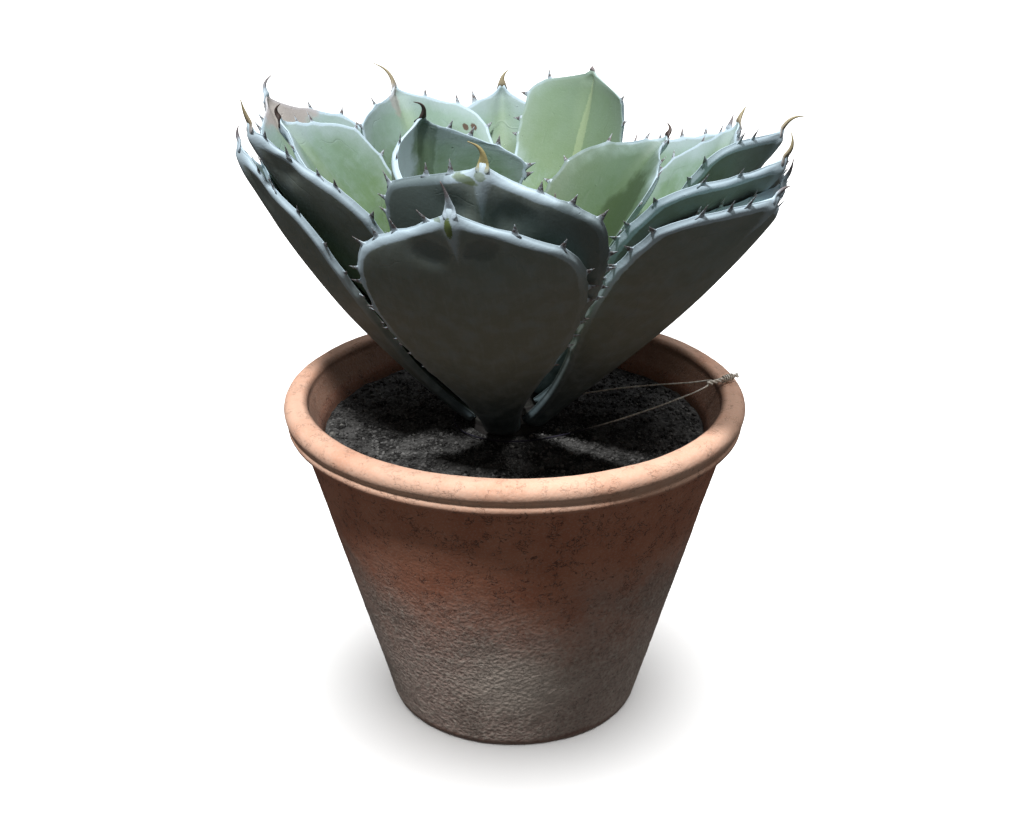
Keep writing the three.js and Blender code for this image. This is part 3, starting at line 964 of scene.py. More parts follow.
@dataclass(frozen=True)
class LeafForm:
    """The shape of one leaf, in millimetres and degrees.

    facing is its compass angle from above, root the distance and height of its foot, lean the
    midrib's slope at foot and tip, cup how far it wraps round the rosette's axis, roll its turn
    about the midrib and what is added by the tip, swing the tip's drift sideways, shoulder the
    share of its length where it is widest, spine the tip spine's length and how far its point
    turns aside and outwards, curl the width of the band along its margin that turns up, and
    fades the share of the length above which that band shows, on either side of the midrib.
    That pale band is partly a painted highlight, so a side that turns into shade starts it later.
    """

    facing: float
    root: Pair
    lean: Pair
    length: float
    width: float
    cup: float
    roll: Pair
    swing: float
    shoulder: float
    spine: Place
    horn: HornTone = HornTone.TAN
    scuffs: tuple[Scuff, ...] = ()
    curl: float = 3.4
    fades: Pair = (0.42, 0.42)


GREEN_RUB = paint(88, 104, 58)
# Painted shade in the outer faces' dents and over their shaded parts
DENT_SHADE = paint(70, 84, 84)
# Painted shade on inner faces
DEEP_GREEN_SHADE = paint(58, 80, 53)
SAGE = paint(104, 126, 98)
# Deeper painted shade on an inner face
DARK_GREEN_SHADE = paint(38, 56, 28)
PALE_FOLD = paint(170, 186, 146)
# Bluish bloom with a painted highlight, for a half leaf that faces the light
BLUE_BLOOM_HIGHLIGHT = paint(206, 226, 240)
BROWN_SCAR = paint(72, 58, 46)
PINK_EDGE = paint(164, 152, 150)

LEAVES = (
    LeafForm(
        -97, (23.5, 175), (44, 69), 203, 113, 0.58, (4, 0), -14, 0.72, (14, -16, 0), HornTone.TAN,
        (
            # The first two are painted shade in the dents below the tip
            Scuff(-13, 176, 22, 15, DENT_SHADE, strength=0.5), Scuff(11, 178, 18, 14, DENT_SHADE, strength=0.5),
            Scuff(-1, 194, 4.5, 12, GREEN_RUB), Scuff(-9, 196, 8, 3, GREEN_RUB, strength=0.6),
        ),
        # The later start on one side keeps the band's painted highlight off the side in shade
        4.4, (0.42, 0.66),
    ),
    LeafForm(36, (23, 174.5), (33, 69), 202, 106, 0.6, (1, 5), -2, 0.79, (8, 0, 0)),
    LeafForm(-171, (22, 176), (43, 72), 203, 108, 0.8, (4, 3), -1, 0.66, (8, 8, -35)),
    LeafForm(-39, (21.5, 176), (45, 53), 206, 106, 1.06, (-14, -2), 16, 0.76, (7, 0, 29)),
    LeafForm(92, (22.5, 178), (34, 78), 206, 105, 0.54, (-3, 4), -3, 0.75, (10, -50, 0), HornTone.OLIVE),
    LeafForm(57, (19.5, 183.8), (33, 61), 167, 75, 0.62, (3, 6), 1, 0.73, (12, 0, 5)),
    LeafForm(128, (19.5, 181.5), (33, 62), 166, 100, 0.58, (-11, 0), 0, 0.72, (12, 0, 5)),
    LeafForm(
        159, (20.5, 187.5), (43, 68), 203, 110, 0.98, (-6, 3), 1, 0.73, (12, -50, -55), HornTone.TAN,
        (Scuff(-10, 192, 56, 30, PINK_EDGE, True, 0.75), Scuff(0, 190, 50, 40, PINK_EDGE, strength=0.5)),
    ),
    LeafForm(
        -95, (18, 186), (43, 79), 206, 114, 0.7, (-2, -16), 2, 0.78, (13, -65, 17), HornTone.GOLDEN,
        (
            # The three dark scuffs are painted shade over the dent and broad parts of the outer face
            Scuff(-34, 165, 54, 76, DENT_SHADE, strength=0.8), Scuff(14, 178, 24, 20, DENT_SHADE, strength=0.5),
            Scuff(36, 160, 56, 60, DENT_SHADE, strength=0.7),
            Scuff(-9, 196, 15, 5, GREEN_RUB, strength=0.75), Scuff(-1, 200, 7, 5, GREEN_RUB, strength=0.6),
        ),
        # The later start on one side keeps the band's painted highlight off the side in shade
        3.6, (0.42, 0.68),
    ),
    LeafForm(-159, (19, 192.5), (46, 67), 202, 105, 0.94, (2, 9), 3, 0.6, (12, 3, -10), HornTone.OLIVE),
    LeafForm(-23, (23.5, 186.5), (42, 58), 191, 114, 1.1, (-12, -2), -2, 0.66, (11, 0, -25)),
    LeafForm(-26, (20.5, 194), (44, 55), 198, 113, 0.92, (-20, 4), 2, 0.7, (12, -13, -50), HornTone.OLIVE),
    LeafForm(0, (14.5, 193.5), (43, 56), 197, 105, 0.52, (-28, -1), 3, 0.8, (14, 15, 50), HornTone.OLIVE),
    LeafForm(
        116, (16, 193), (43, 65), 188, 108, 0.74, (1, 15), 18, 0.81, (19, 35, 37), HornTone.OLIVE,
        (
            Scuff(-45.5, 155, 4, 5, BROWN_SCAR, True), Scuff(-40, 156, 4, 5, BROWN_SCAR, True),
            Scuff(6, 184, 14, 34, PINK_EDGE, True, 0.5),
        ),
    ),
    LeafForm(25, (22, 204), (34, 63), 179, 94, 0.82, (-21, 7), 6, 0.67, (9, 3, 12), HornTone.OLIVE),
    LeafForm(
        70, (12.5, 198), (39, 81), 190, 89, 0.76, (0, -17), -23, 0.89, (2, 0, 0), HornTone.TAN,
        (Scuff(-4, 160, 120, 80, SAGE, True, 0.75), Scuff(-2, 150, 7, 80, PALE_FOLD, True, 0.3)),
    ),
    LeafForm(178, (18, 201), (53, 57), 177, 105, 0.94, (3, -14), 7, 0.7, (9, 40, -75), HornTone.DARK),
    LeafForm(
        151, (15, 207.5), (55, 107), 143, 124, 1.18, (6, -22), -1, 0.76, (13, 80, 15), HornTone.DARK,
        # A painted highlight over the bloom of the half that faces the light, and painted shade beside the
        # midrib
        (Scuff(32, 122, 58, 84, BLUE_BLOOM_HIGHLIGHT, True, 0.95), Scuff(-5, 125, 12, 70, DEEP_GREEN_SHADE, True, 0.5)),
    ),
    LeafForm(
        27, (13.5, 206.5), (59, 49), 147, 92, 0.96, (5, -1), -12, 0.65, (7, 55, -65), HornTone.DARK,
        # Painted shade over most of the inner face, deeper on one side
        (Scuff(0, 80, 130, 120, DEEP_GREEN_SHADE, True, 0.8), Scuff(-14, 88, 44, 70, DARK_GREEN_SHADE, True, 0.75)),
    ),
    LeafForm(-62, (12.5, 204.5), (62, 86), 104, 62, 0.88, (0, 2), 0, 0.72, (6, 0, 0)),
    LeafForm(-135, (12, 207.5), (64, 88), 105, 53, 1.14, (-5, 1), 0, 0.72, (6, 0, 0)),
    LeafForm(-12, (11, 211.5), (64, 87), 86, 52, 0.9, (3, 1), 0, 0.72, (6, 0, 0)),
    LeafForm(-92, (10.5, 213), (65, 89), 101, 45, 1, (-2, 3), 0, 0.72, (9, 0, 0)),
    LeafForm(121, (9, 208.5), (54, 90), 76, 47, 0.98, (3, 2), 0, 0.7, (6, 0, 0)),
    LeafForm(-11, (7.5, 216), (69, 91), 86, 34, 1.08, (-5, 0), 0, 0.72, (6, 0, 0)),
    LeafForm(-125, (7, 215.5), (64, 91), 76, 33, 1.04, (7, 0), 0, 0.71, (6, 0, 0)),
    LeafForm(58, (10.5, 220), (50, 93), 68, 24, 1.3, (-3, 2), 0, 0.72, (6, 0, 0)),
    LeafForm(-63, (4, 220), (72, 90), 64, 19, 1.24, (0, 0), 0, 0.72, (6, 0, 0)),
)


@dataclass(frozen=True)
class Section:
    """The blade's cross-section at one share of its length."""

    share: float
    middle: Vector
    along: Vector
    across: Vector
    face: Vector
    half_width: float
    curvature: float


@dataclass(frozen=True)
class Tooth:
    """One tooth on a margin: its share of the length, side, height and lean."""

    share: float
    side: int
    height: float
    lean: float


@dataclass(frozen=True)
class BladeSizes:
    """What all blades share. Where there are two values in one, the second is a young leaf's."""

    axis: Pair = (-4.0, 0.0)
    neck_share: float = 0.2
    tip_share: float = 0.035
    tip_power: float = 1.75
    lean_power: float = 1.7
    fold: float = 0.1
    fold_rounding: float = 0.15
    tightest_cup: float = 35.0
    flattest_slope: float = 0.2
    tip_thinning: float = 0.5
    body: Pair = (7.0, 4.6)
    edge: Pair = (2.9, 2.0)
    grid: tuple[tuple[int, int], tuple[int, int]] = ((34, 74), (14, 36))
    young_length: float = 120.0
    midrib_steps: int = 240
    last_share: float = 0.99
    share_step: float = 0.005
    evenness: float = 0.3
    flattened: float = 0.45
    flattened_range: Pair = (0.955, 1.0)
    edge_rounding: float = 0.5
    edge_reach: float = 7.0
    edge_lift: float = 0.82
    curl_end: Pair = (0.962, 0.99)
    band_turn: float = 8.0
    band_rise: float = 0.28
    wave: float = 0.8
    wave_size: Pair = (34.0, 46.0)
    wave_step: float = 7.3
    wave_range: Pair = (0.1, 0.4)
    keel: float = 2.6
    keel_reach: float = 6.5
    keel_range: Pair = (0.78, 0.93)
    keel_end: Pair = (0.97, 1.0)
    dent: float = 2.4
    dent_aside: float = 13.0
    dent_share: float = 0.87
    dent_size: float = 8.5


@dataclass(frozen=True)
class ToothSizes:
    """What all teeth share. A draw is the range of what is drawn at random, as a factor."""

    spacing: float = 16.0
    spacing_draw: Pair = (0.55, 1.4)
    shares: Pair = (0.34, 0.96)
    lowest_draw: Pair = (1, 1.15)
    heights: Pair = (3.4, 6.0)
    height_draw: Pair = (0.7, 1.15)
    lean: float = 14.0
    lean_draw: Pair = (-0.6, 1.4)
    seed: int = 11
    width: float = 2.2
    thickness: float = 0.72
    thickness_range: Pair = (-0.3, 0.2)
    root: float = 1.6
    hook: float = 0.16
    taper: float = 1.1
    point: float = 0.05
    flare: float = 0.45
    flare_share: float = 0.16
    seat: float = 0.85
    seat_range: Pair = (-2.4, -0.4)
    mound: float = 1.2
    mound_reach: float = 3.6
    mound_sink: float = 0.35
    sides: int = 8
    steps: int = 6


@dataclass(frozen=True)
class SpineSizes:
    """What all tip spines share: a horn that is flat at its sunk foot, where its base flares."""

    root_radius: float = 1.5
    tip_radius: float = 0.22
    root: float = 8.0
    taper: float = 1.35
    swell_range: Pair = (-0.15, 0.2)
    flatness: float = 0.45
    flat_range: Pair = (-0.35, 0.6)
    flare: float = 1.9
    flare_depth: float = 3.4
    flare_rise: float = 3.0
    flare_reach: float = 3.6
    straight_share: float = 1 / 6
    bend_rate: float = 1.5
    relief_share: float = 0.88
    rise: float = 0.34
    rise_reach: float = 4.0
    sides: int = 14
    steps: int = 20


@dataclass
class Leaf:
    """One leaf with its blade, teeth and tip spine. Its shape is that of the source."""

    number: int
    form: LeafForm
    sizes: BladeSizes = BladeSizes()
    tooth_sizes: ToothSizes = ToothSizes()
    spine_sizes: SpineSizes = SpineSizes()
    sections: dict[float, Section] = field(default_factory=dict)

    @property
    def name(self) -> str:
        """The name of the CAD node that the leaf stands for."""
        return f"leaf_{self.number:02d}"

    @property
    def young(self) -> bool:
        """True for a small inner leaf, which has no teeth yet."""
        return self.form.length < self.sizes.young_length

    def directions(self, share: float) -> tuple[Vector, Vector, Vector, float]:
        """The blade's directions at one place on the midrib.

        Args:
            share: The place, as a share of the leaf's length.

        Returns:
            Along the midrib, across the blade, out of its upper face, and the sine of its slope.
        """
        form = self.form
        lean = math.radians(lerp(*form.lean, share**self.sizes.lean_power))
        heading = math.radians(form.facing + form.swing * share**2)
        roll = math.radians(form.roll[0] + form.roll[1] * share)
        level = Vector((-math.sin(heading), math.cos(heading), 0))
        out = Vector((math.cos(heading), math.sin(heading), 0))
        along = out * math.cos(lean) + Vector((0, 0, math.sin(lean)))
        upper = out * -math.sin(lean) + Vector((0, 0, math.cos(lean)))
        across = level * math.cos(roll) + upper * math.sin(roll)
        face = upper * math.cos(roll) - level * math.sin(roll)
        return along, across, face, math.sin(lean)

    @cached_property
    def midrib(self) -> list[Vector]:
        """Points on the midrib at even shares of its length.

        Returns:
            The points, from the foot to the tip, in millimetres.
        """
        facing = math.radians(self.form.facing)
        distance, height = self.form.root
        x, y = self.sizes.axis
        point = Vector((x + distance * math.cos(facing), y + distance * math.sin(facing), height))
        points = [point.copy()]
        step = 1 / self.sizes.midrib_steps
        for i in range(self.sizes.midrib_steps):
            point += self.directions((i + 0.5) * step)[0] * (step * self.form.length)
            points.append(point.copy())
        return points

    def width_share(self, share: float) -> float:
        """The blade's width at one share of its length, as a share of its greatest width.

        Args:
            share: The share of the length, from 0 at the foot to 1 at the tip.

        Returns:
            The share of the greatest width.
        """
        sizes, shoulder = self.sizes, self.form.shoulder
        if share < shoulder:
            return lerp(sizes.neck_share, 1.0, 0.5 * (1 - math.cos(math.pi * share / shoulder)))
        beyond = min(1.0, (share - shoulder) / (1 - shoulder))
        return lerp(sizes.tip_share, 1.0, 0.5 * (1 + math.cos(math.pi * beyond**sizes.tip_power)))

    def widening(self, share: float) -> float:
        """How much the blade widens sideways as its midrib runs on, just above a share.

        Args:
            share: The share of the length, from 0 at the foot to 1 at the tip.

        Returns:
            The gain in half of its width for each millimetre of midrib.
        """
        step = self.sizes.share_step
        gain = self.width_share(share + step) - self.width_share(share)
        return 0.5 * self.form.width * gain / (self.form.length * step)

    def section(self, share: float) -> Section:
        """The cross-section at one share of the length, worked out once.

        Args:
            share: The share of the length, from 0 at the foot to 1 at the tip.

        Returns:
            The cross-section.
        """
        share = round(min(1.0, max(0.0, share)), 5)
        if share not in self.sections:
            sizes = self.sizes
            place = share * sizes.midrib_steps
            before = min(int(place), sizes.midrib_steps - 1)
            middle = self.midrib[before].lerp(self.midrib[before + 1], place - before)
            along, across, face, slope = self.directions(share)
            from_axis = math.hypot(middle.x - sizes.axis[0], middle.y - sizes.axis[1])
            wrap = max(from_axis / max(slope, sizes.flattest_slope), sizes.tightest_cup)
            half = 0.5 * self.form.width * self.width_share(share)
            self.sections[share] = Section(share, middle, along, across, face, half, self.form.cup / wrap)
        return self.sections[share]

    def at(self, section: Section, u: float) -> tuple[Vector, Vector, Vector]:
        """A place on the blade's middle surface.

        Args:
            section: The cross-section that it is in.
            u: The place across the blade, from -1 to 1.

        Returns:
            The point, the direction sideways there and the upper face's normal.
        """
        angle = section.half_width * u * section.curvature
        rounding = self.sizes.fold_rounding
        fold = self.sizes.fold * section.half_width * (math.hypot(u, rounding) - rounding)
        point = (
            section.middle
            + section.across * (math.sin(angle) / section.curvature)
            + section.face * ((1 - math.cos(angle)) / section.curvature + fold)
        )
        sideways = section.across * math.cos(angle) + section.face * math.sin(angle)
        normal = section.face * math.cos(angle) - section.across * math.sin(angle)
        return point, sideways, normal

    def half_thickness(self, share: float, u: float) -> float:
        """Half of the blade's thickness at one place.

        Args:
            share: The share of the length, from 0 at the foot to 1 at the tip.
            u: The place across the blade, from -1 to 1.

        Returns:
            The half thickness, in millimetres.
        """
        body = self.sizes.body[self.young] * (1 - self.sizes.tip_thinning * share)
        edge = min(self.sizes.edge[self.young], body)
        return 0.5 * (edge + (body - edge) * (1 - u * u))

    @cached_property
    def teeth(self) -> list[Tooth]:
        """The teeth of both margins, in the order in which they are drawn.

        Returns:
            The teeth, or none for a young leaf.
        """
        if self.young:
            return []
        sizes = self.tooth_sizes
        draw = SeededDraw(sizes.seed + self.number - 1)
        low, high = sizes.shares
        teeth = []
        for side in (-1, 1):
            shares = []
            share = low * draw.between(*sizes.lowest_draw)
            while share < high:
                shares.append(share)
                edge_length = self.form.length * math.hypot(1, self.widening(share))
                share += sizes.spacing * draw.between(*sizes.spacing_draw) / edge_length
            for share in shares:
                raised = min(1.0, (share - low) / (self.form.shoulder - low))
                height = lerp(*sizes.heights, raised) * draw.between(*sizes.height_draw)
                lean = math.radians(sizes.lean * draw.between(*sizes.lean_draw))
                teeth.append(Tooth(share, side, height, lean))
        return teeth

    def margin_swell(self, share: float, side: float) -> float:
        """How far the margin stands out where a tooth's mound is near, in millimetres.

        Args:
            share: The share of the length, from 0 at the foot to 1 at the tip.
            side: The side of the midrib, by its sign.

        Returns:
            The distance, below 0 between mounds.
        """
        sizes = self.tooth_sizes
        length = self.form.length * math.hypot(1, self.widening(min(share, self.sizes.last_share)))
        swell = 0.0
        for tooth in self.teeth:
            if tooth.side * side > 0:
                far = (tooth.share - share) * length / sizes.mound_reach
                swell += math.exp(-far * far)
        return sizes.mound * (min(1.0, swell) - sizes.mound_sink)

    def relief(self, section: Section, u: float) -> float:
        """How far the blade waves and bulges along its normal at one place.

        Args:
            section: The cross-section that it is in.
            u: The place across the blade, from -1 to 1.

        Returns:
            The height, in millimetres.
        """
        if self.young:
            return 0.0
        sizes = self.sizes
        x, y = u * section.half_width, section.share * self.form.length
        place = Vector((x / sizes.wave_size[0], y / sizes.wave_size[1], self.number * sizes.wave_step))
        wave = noise.noise(place) * sizes.wave * smooth(section.share, *sizes.wave_range)
        ridge = smooth(abs(x), sizes.keel_reach, 0) * smooth(section.share, *sizes.keel_range)
        return wave - sizes.keel * ridge * (1 - smooth(section.share, *sizes.keel_end))

    def dents(self, section: Section, u: float) -> float:
        """How deep the outer face is pressed in on either side of its keel at one place.

        Args:
            section: The cross-section that it is in.
            u: The place across the blade, from -1 to 1.

        Returns:
            The depth, in millimetres.
        """
        if self.young:
            return 0.0
        sizes = self.sizes
        depth = 0.0
        for side in (-1, 1):
            across = (u * section.half_width - side * sizes.dent_aside) / sizes.dent_size
            along = (section.share - sizes.dent_share) * self.form.length / sizes.dent_size
            depth += sizes.dent * math.exp(-across * across - along * along)
        return depth

    def band(self, section: Section, u: float) -> float:
        """How much the margin's pale band shows at one place, from 0 to 1; the band is bloom and partly a
        painted highlight.

        Args:
            section: The cross-section that it is in.
            u: The place across the blade, from -1 to 1.

        Returns:
            The share.
        """
        turn = self.sizes.band_turn
        start = lerp(*self.form.fades, smooth(u * section.half_width, -turn, turn))
        return smooth(section.share, start, start + self.sizes.band_rise)

    def curl(self, section: Section, inset: float, band: float) -> float:
        """How far the margin turns up at a distance from the edge, as a share of its thickness.

        Args:
            section: The cross-section that it is in.
            inset: The distance from the edge, in millimetres.
            band: How much the pale band shows there, from 0 to 1.

        Returns:
            The share of the thickness.
        """
        width = self.form.curl * lerp(0.5, 1.0, band)
        turned_up = 1 - math.sqrt(1 - max(0.0, 1 - inset / width) ** 2)
        return turned_up * (1 - smooth(section.share, *self.sizes.curl_end))

    def blade(self, bm: bmesh.types.BMesh) -> None:
        """Bends a flat slab with a rounded edge into the blade.

        Args:
            bm: The leaf's shape, with its vertex layers.
        """
        sizes = self.sizes
        columns, rows = sizes.grid[self.young]
        bmesh.ops.create_grid(bm, x_segments=columns, y_segments=rows, size=1.0)
        raised = bmesh.ops.extrude_face_region(bm, geom=bm.faces[:])
        lifted = [item for item in raised["geom"] if isinstance(item, bmesh.types.BMVert)]
        bmesh.ops.translate(bm, vec=(0, 0, 1), verts=lifted)
        walls = [edge for edge in bm.edges if abs(edge.verts[0].co.z - edge.verts[1].co.z) > 0.5]
        bmesh.ops.subdivide_edges(bm, edges=walls, cuts=3)
        layers = bm.verts.layers.float
        for vert in bm.verts:
            x, share, w = vert.co.x, 0.5 * (vert.co.y + 1), 2 * vert.co.z - 1
            u = lerp(math.sin(0.5 * math.pi * x), x, sizes.evenness)
            section = self.section(share)
            point, sideways, normal = self.at(section, u)
            widening = self.widening(min(section.share, sizes.last_share))
            turn_up = -math.atan(widening)
            outwards = sideways * (u * math.cos(turn_up)) + section.along * math.sin(turn_up)
            inset = section.half_width * (1 - abs(u)) / math.hypot(1, widening)
            round_off = math.sqrt(1 - w * w) if abs(x) > 0.999 else 0.0
            out = self.margin_swell(section.share, u) + sizes.edge_rounding * (round_off - 1)
            band = self.band(section, u)
            curl = self.curl(section, inset, band)
            thin = 1 - sizes.flattened * smooth(share, *sizes.flattened_range)
            lift = self.half_thickness(share, u) * thin * (w + sizes.edge_lift * curl * (1 - w))
            lift += self.relief(section, u) + self.dents(section, u) * 0.5 * (1 - w)
            vert[layers["across_mm"]] = u * section.half_width
            vert[layers["along_mm"]] = share * self.form.length
            vert[layers["upper"]] = 0.5 + 0.5 * w
            vert[layers["margin_mm"]] = inset
            vert[layers["band"]] = band
            vert.co = point + outwards * (out * smooth(inset, sizes.edge_reach, 0)) + normal * lift

    def tooth(self, bm: bmesh.types.BMesh, tooth: Tooth) -> None:
        """Adds one curved tooth whose broad foot is sunk in the margin.

        Args:
            bm: The leaf's shape, with its vertex layers.
            tooth: The tooth.
        """
        sizes = self.tooth_sizes
        section = self.section(tooth.share)
        point, sideways, normal = self.at(section, tooth.side)
        point += normal * self.relief(section, tooth.side)
        turn_up = tooth.lean - math.atan(self.widening(tooth.share))
        pointing = sideways * (tooth.side * math.cos(turn_up)) + section.along * math.sin(turn_up)
        beside = pointing.cross(normal).normalized()
        through = beside.cross(pointing)

        def place(share: float, turn: float) -> Vector:
            """The place of one of the tooth's vertices.

            Args:
                share: How far along the horn, from 0 at its root to 1 at its point.
                turn: The angle round the horn, in radians.

            Returns:
                The vertex's place, in millimetres.
            """
            taper = (1 - share) ** sizes.taper + sizes.point
            flare = 1 + sizes.flare * math.exp(-share / sizes.flare_share)
            thickness = sizes.thickness * taper * smooth(share, *sizes.thickness_range)
            out = share * (tooth.height + sizes.root) - sizes.root
            return (
                point
                + normal * (sizes.seat * smooth(out, *sizes.seat_range))
                + pointing * out
                + beside * (math.cos(turn) * taper * flare * sizes.width)
                + through * (math.sin(turn) * thickness)
                + section.along * (sizes.hook * tooth.height * share**2)
            )

        horn(bm, sizes.sides, sizes.steps, TOOTH_HORN, place)

    def spine(self, bm: bmesh.types.BMesh) -> None:
        """Adds the tip spine, a slim horn that bends aside and outwards.

        Args:
            bm: The leaf's shape, with its vertex layers.
        """
        sizes = self.spine_sizes
        length, aside, outwards = self.form.spine
        run = length + sizes.root
        centres, frames = [], []
        for i in range(sizes.steps + 1):
            beyond = i / sizes.steps * run - sizes.root
            section = self.section(1 + min(0.0, beyond) / self.form.length)
            bend = min(1.0, max(0.0, (beyond / length - sizes.straight_share) * sizes.bend_rate))
            a, o = math.radians(aside * bend), math.radians(outwards * bend)
            pointing = (
                section.along * (math.cos(a) * math.cos(o))
                + section.across * (math.sin(a) * math.cos(o))
                - section.face * math.sin(o)
            )
            beside = section.across * math.cos(a) - section.along * math.sin(a)
            frames.append((beside, pointing.cross(beside)))
            if beyond <= 0:
                sunk = sizes.relief_share * self.relief(section, 0.0)
                sunk += sizes.rise * smooth(-beyond, sizes.rise_reach, 0)
                centres.append(section.middle + section.face * sunk)
            else:
                centres.append(centres[-1] + pointing * (run / sizes.steps))

        def place(share: float, turn: float) -> Vector:
            """The place of one of the spine's vertices.

            Args:
                share: How far along the horn, from 0 at its root to 1 at its point.
                turn: The angle round the horn, in radians.

            Returns:
                The vertex's place, in millimetres.
            """
            ring = round(share * sizes.steps)
            beside, over = frames[ring]
            beyond = share * run - sizes.root
            taper = max(0.0, 1 - max(0.0, beyond) / length) ** sizes.taper
            radius = sizes.root_radius * taper * smooth(share, *sizes.swell_range) + sizes.tip_radius
            flat = lerp(sizes.flatness, 1.0, smooth(beyond / length, *sizes.flat_range))
            past_widest = beyond + sizes.flare_depth
            rising = smooth(past_widest, -sizes.flare_rise, 0)
            flare = sizes.flare * rising * math.exp(-max(0.0, past_widest) / sizes.flare_reach)
            return (
                centres[ring]
                + beside * (math.cos(turn) * (radius + flare * taper))
                + over * (math.sin(turn) * flat * radius)
            )

        horn(bm, sizes.sides, sizes.steps, SPINE_HORN, place)

    def build(self, tooth_horn: Material, spine_horns: dict[HornTone, Material]) -> Object:
        """Makes the leaf's piece in place of its CAD node.

        Args:
            tooth_horn: The teeth's material.
            spine_horns: The tip spines' materials, by tone.

        Returns:
            The piece.
        """
        bm = bmesh.new()
        for name in ("across_mm", "along_mm", "upper", "margin_mm", "band", "reach"):
            bm.verts.layers.float.new(name)
        self.blade(bm)
        for tooth in self.teeth:
            self.tooth(bm, tooth)
        self.spine(bm)
        for face in bm.faces:
            face.smooth = True
        skin = LeafFinish(self.form.length, self.number, self.form.scuffs).material()
        materials = (skin, tooth_horn, spine_horns[self.form.horn])
        piece = finished(bm, f"{self.name}_blade", materials)
        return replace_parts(piece, self.name)


@dataclass
class Rosette:
    """All the leaves, and the neck that carries them."""

    forms: Sequence[LeafForm] = LEAVES
    tooth_finish: HornFinish = HornFinish(
        paint(70, 64, 66), paint(116, 110, 112), paint(160, 176, 188), bloom_end=0.46, mottled=0.75
    )

    def build(self) -> None:
        """Makes every leaf and dresses the neck."""
        tooth = self.tooth_finish.material("tooth_horn")
        spines = {
            tone: HornFinish(*tone.value).material(f"spine_horn_{tone.name.lower()}") for tone in HornTone
        }
        for number, form in enumerate(self.forms, start=1):
            Leaf(number, form).build(tooth, spines)
        dress_node("stem", StemFinish().material())


def dress_node(name: str, material: Material) -> None:
    """Gives a CAD node that stays in view its material.

    Args:
        name: The node's name.
        material: Its material.
    """
    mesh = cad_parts[name].data
    mesh.materials.clear()
    mesh.materials.append(material)
    LOG.info("%s: dressed as it is", name)


@dataclass
class Pot:
    """The terracotta pot: a tapered wall under a thick roll with a slimmer bead below it.

    throwing, warping and pitting are reliefs in the clay: the size of their waves and their depth.
    hide is the leathery relief, which is deeper low on the wall.
    """

    height: float = 191.4
    base_radius: float = 73.8
    base_corner: float = 4.0
    shoulder_radius: float = 121.3
    shoulder_height: float = 172.6
    rim_radius: float = 130.0
    roll_radius: float = 6.6
    bead_radius: float = 4.2
    bead_inset: float = 1.6
    lip_radius: float = 4.6
    lip_centre: float = 120.5
    wall: float = 12.4
    floor: float = 13.0
    drain_radius: float = 5.0
    drain_circle: float = 34.0
    drains: int = 3
    drain_turn: float = 0.25
    cutter: float = 40.0
    throwing: Pair = (9.0, 0.12)
    warping: Pair = (38.0, 0.35)
    pitting: Pair = (2.9, 0.1)
    hide_size: Place = (6.0, 6.0, 5.0)
    hide_depths: Pair = (0.08, 0.18)
    hide_range: Pair = (130.0, 40.0)
    sink: float = 0.25
    flat_foot: float = 1.0
    sides: int = 256
    longest: float = 3.0

    def wall_radius(self, height: float) -> float:
        """The outside radius of the wall at a height."""
        return lerp(self.base_radius, self.shoulder_radius, height / self.shoulder_height)

    def profile(self) -> list[Pair]:
        """The pot's profile, from the middle of its underside round to the middle of its floor.

        Returns:
            Pairs of a radius and a height, in millimetres.
        """
        corner = self.base_corner
        inner = self.wall
        bead, roll, lip = self.bead_radius, self.roll_radius, self.lip_radius
        top = self.shoulder_height
        return [
            (0, 0),
            *arc((self.base_radius - corner, corner), corner, -90, -15, 6),
            (self.shoulder_radius, top),
            *arc((self.rim_radius - self.bead_inset - bead, top + bead), bead, -70, 36, 8),
            *arc((self.rim_radius - roll, self.height - roll), roll, -26, 90, 14),
            *arc((self.lip_centre, self.height - lip), lip, 90, 180, 8),
            (self.wall_radius(top) - inner, top),
            (self.wall_radius(self.floor + corner) - inner, self.floor + corner),
            (self.wall_radius(self.floor) - inner - corner, self.floor),
            (0, self.floor),
        ]

    def wear(self, point: Vector) -> float:
        """How far the clay stands proud of a true turned surface, in millimetres.

        Args:
            point: A point of the turned surface, in millimetres.

        Returns:
            The distance.
        """
        if point.z < self.flat_foot:
            return 0.0
        throwing = noise.noise(Vector((0, 0, point.z / self.throwing[0]))) * self.throwing[1]
        warping = noise.noise(point / self.warping[0]) * self.warping[1]
        pitting = noise.noise(point / self.pitting[0]) * self.pitting[1]
        depth = lerp(*self.hide_depths, smooth(point.z, *self.hide_range))
        hide = noise.noise(Vector([part / size for part, size in zip(point, self.hide_size)])) * depth
        return throwing + warping + hide + pitting - self.sink

    def build(self) -> Object:
        """Makes the pot's piece in place of its CAD node.

        Returns:
            The piece.
        """
        bm = turned(self.profile(), self.sides, self.longest)
        for vert in bm.verts:
            vert.co += vert.normal * self.wear(vert.co)
        far, middle = self.drain_circle, 0.5 * self.floor
        turns = [math.tau * (i + self.drain_turn) / self.drains for i in range(self.drains)]
        places = [Matrix.Translation((far * math.cos(a), far * math.sin(a), middle)) for a in turns]
        bm = cut_by(bm, places, self.drain_radius, self.cutter)
        piece = finished(bm, "pot_body", [TerracottaFinish().material()])
        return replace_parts(piece, "pot")


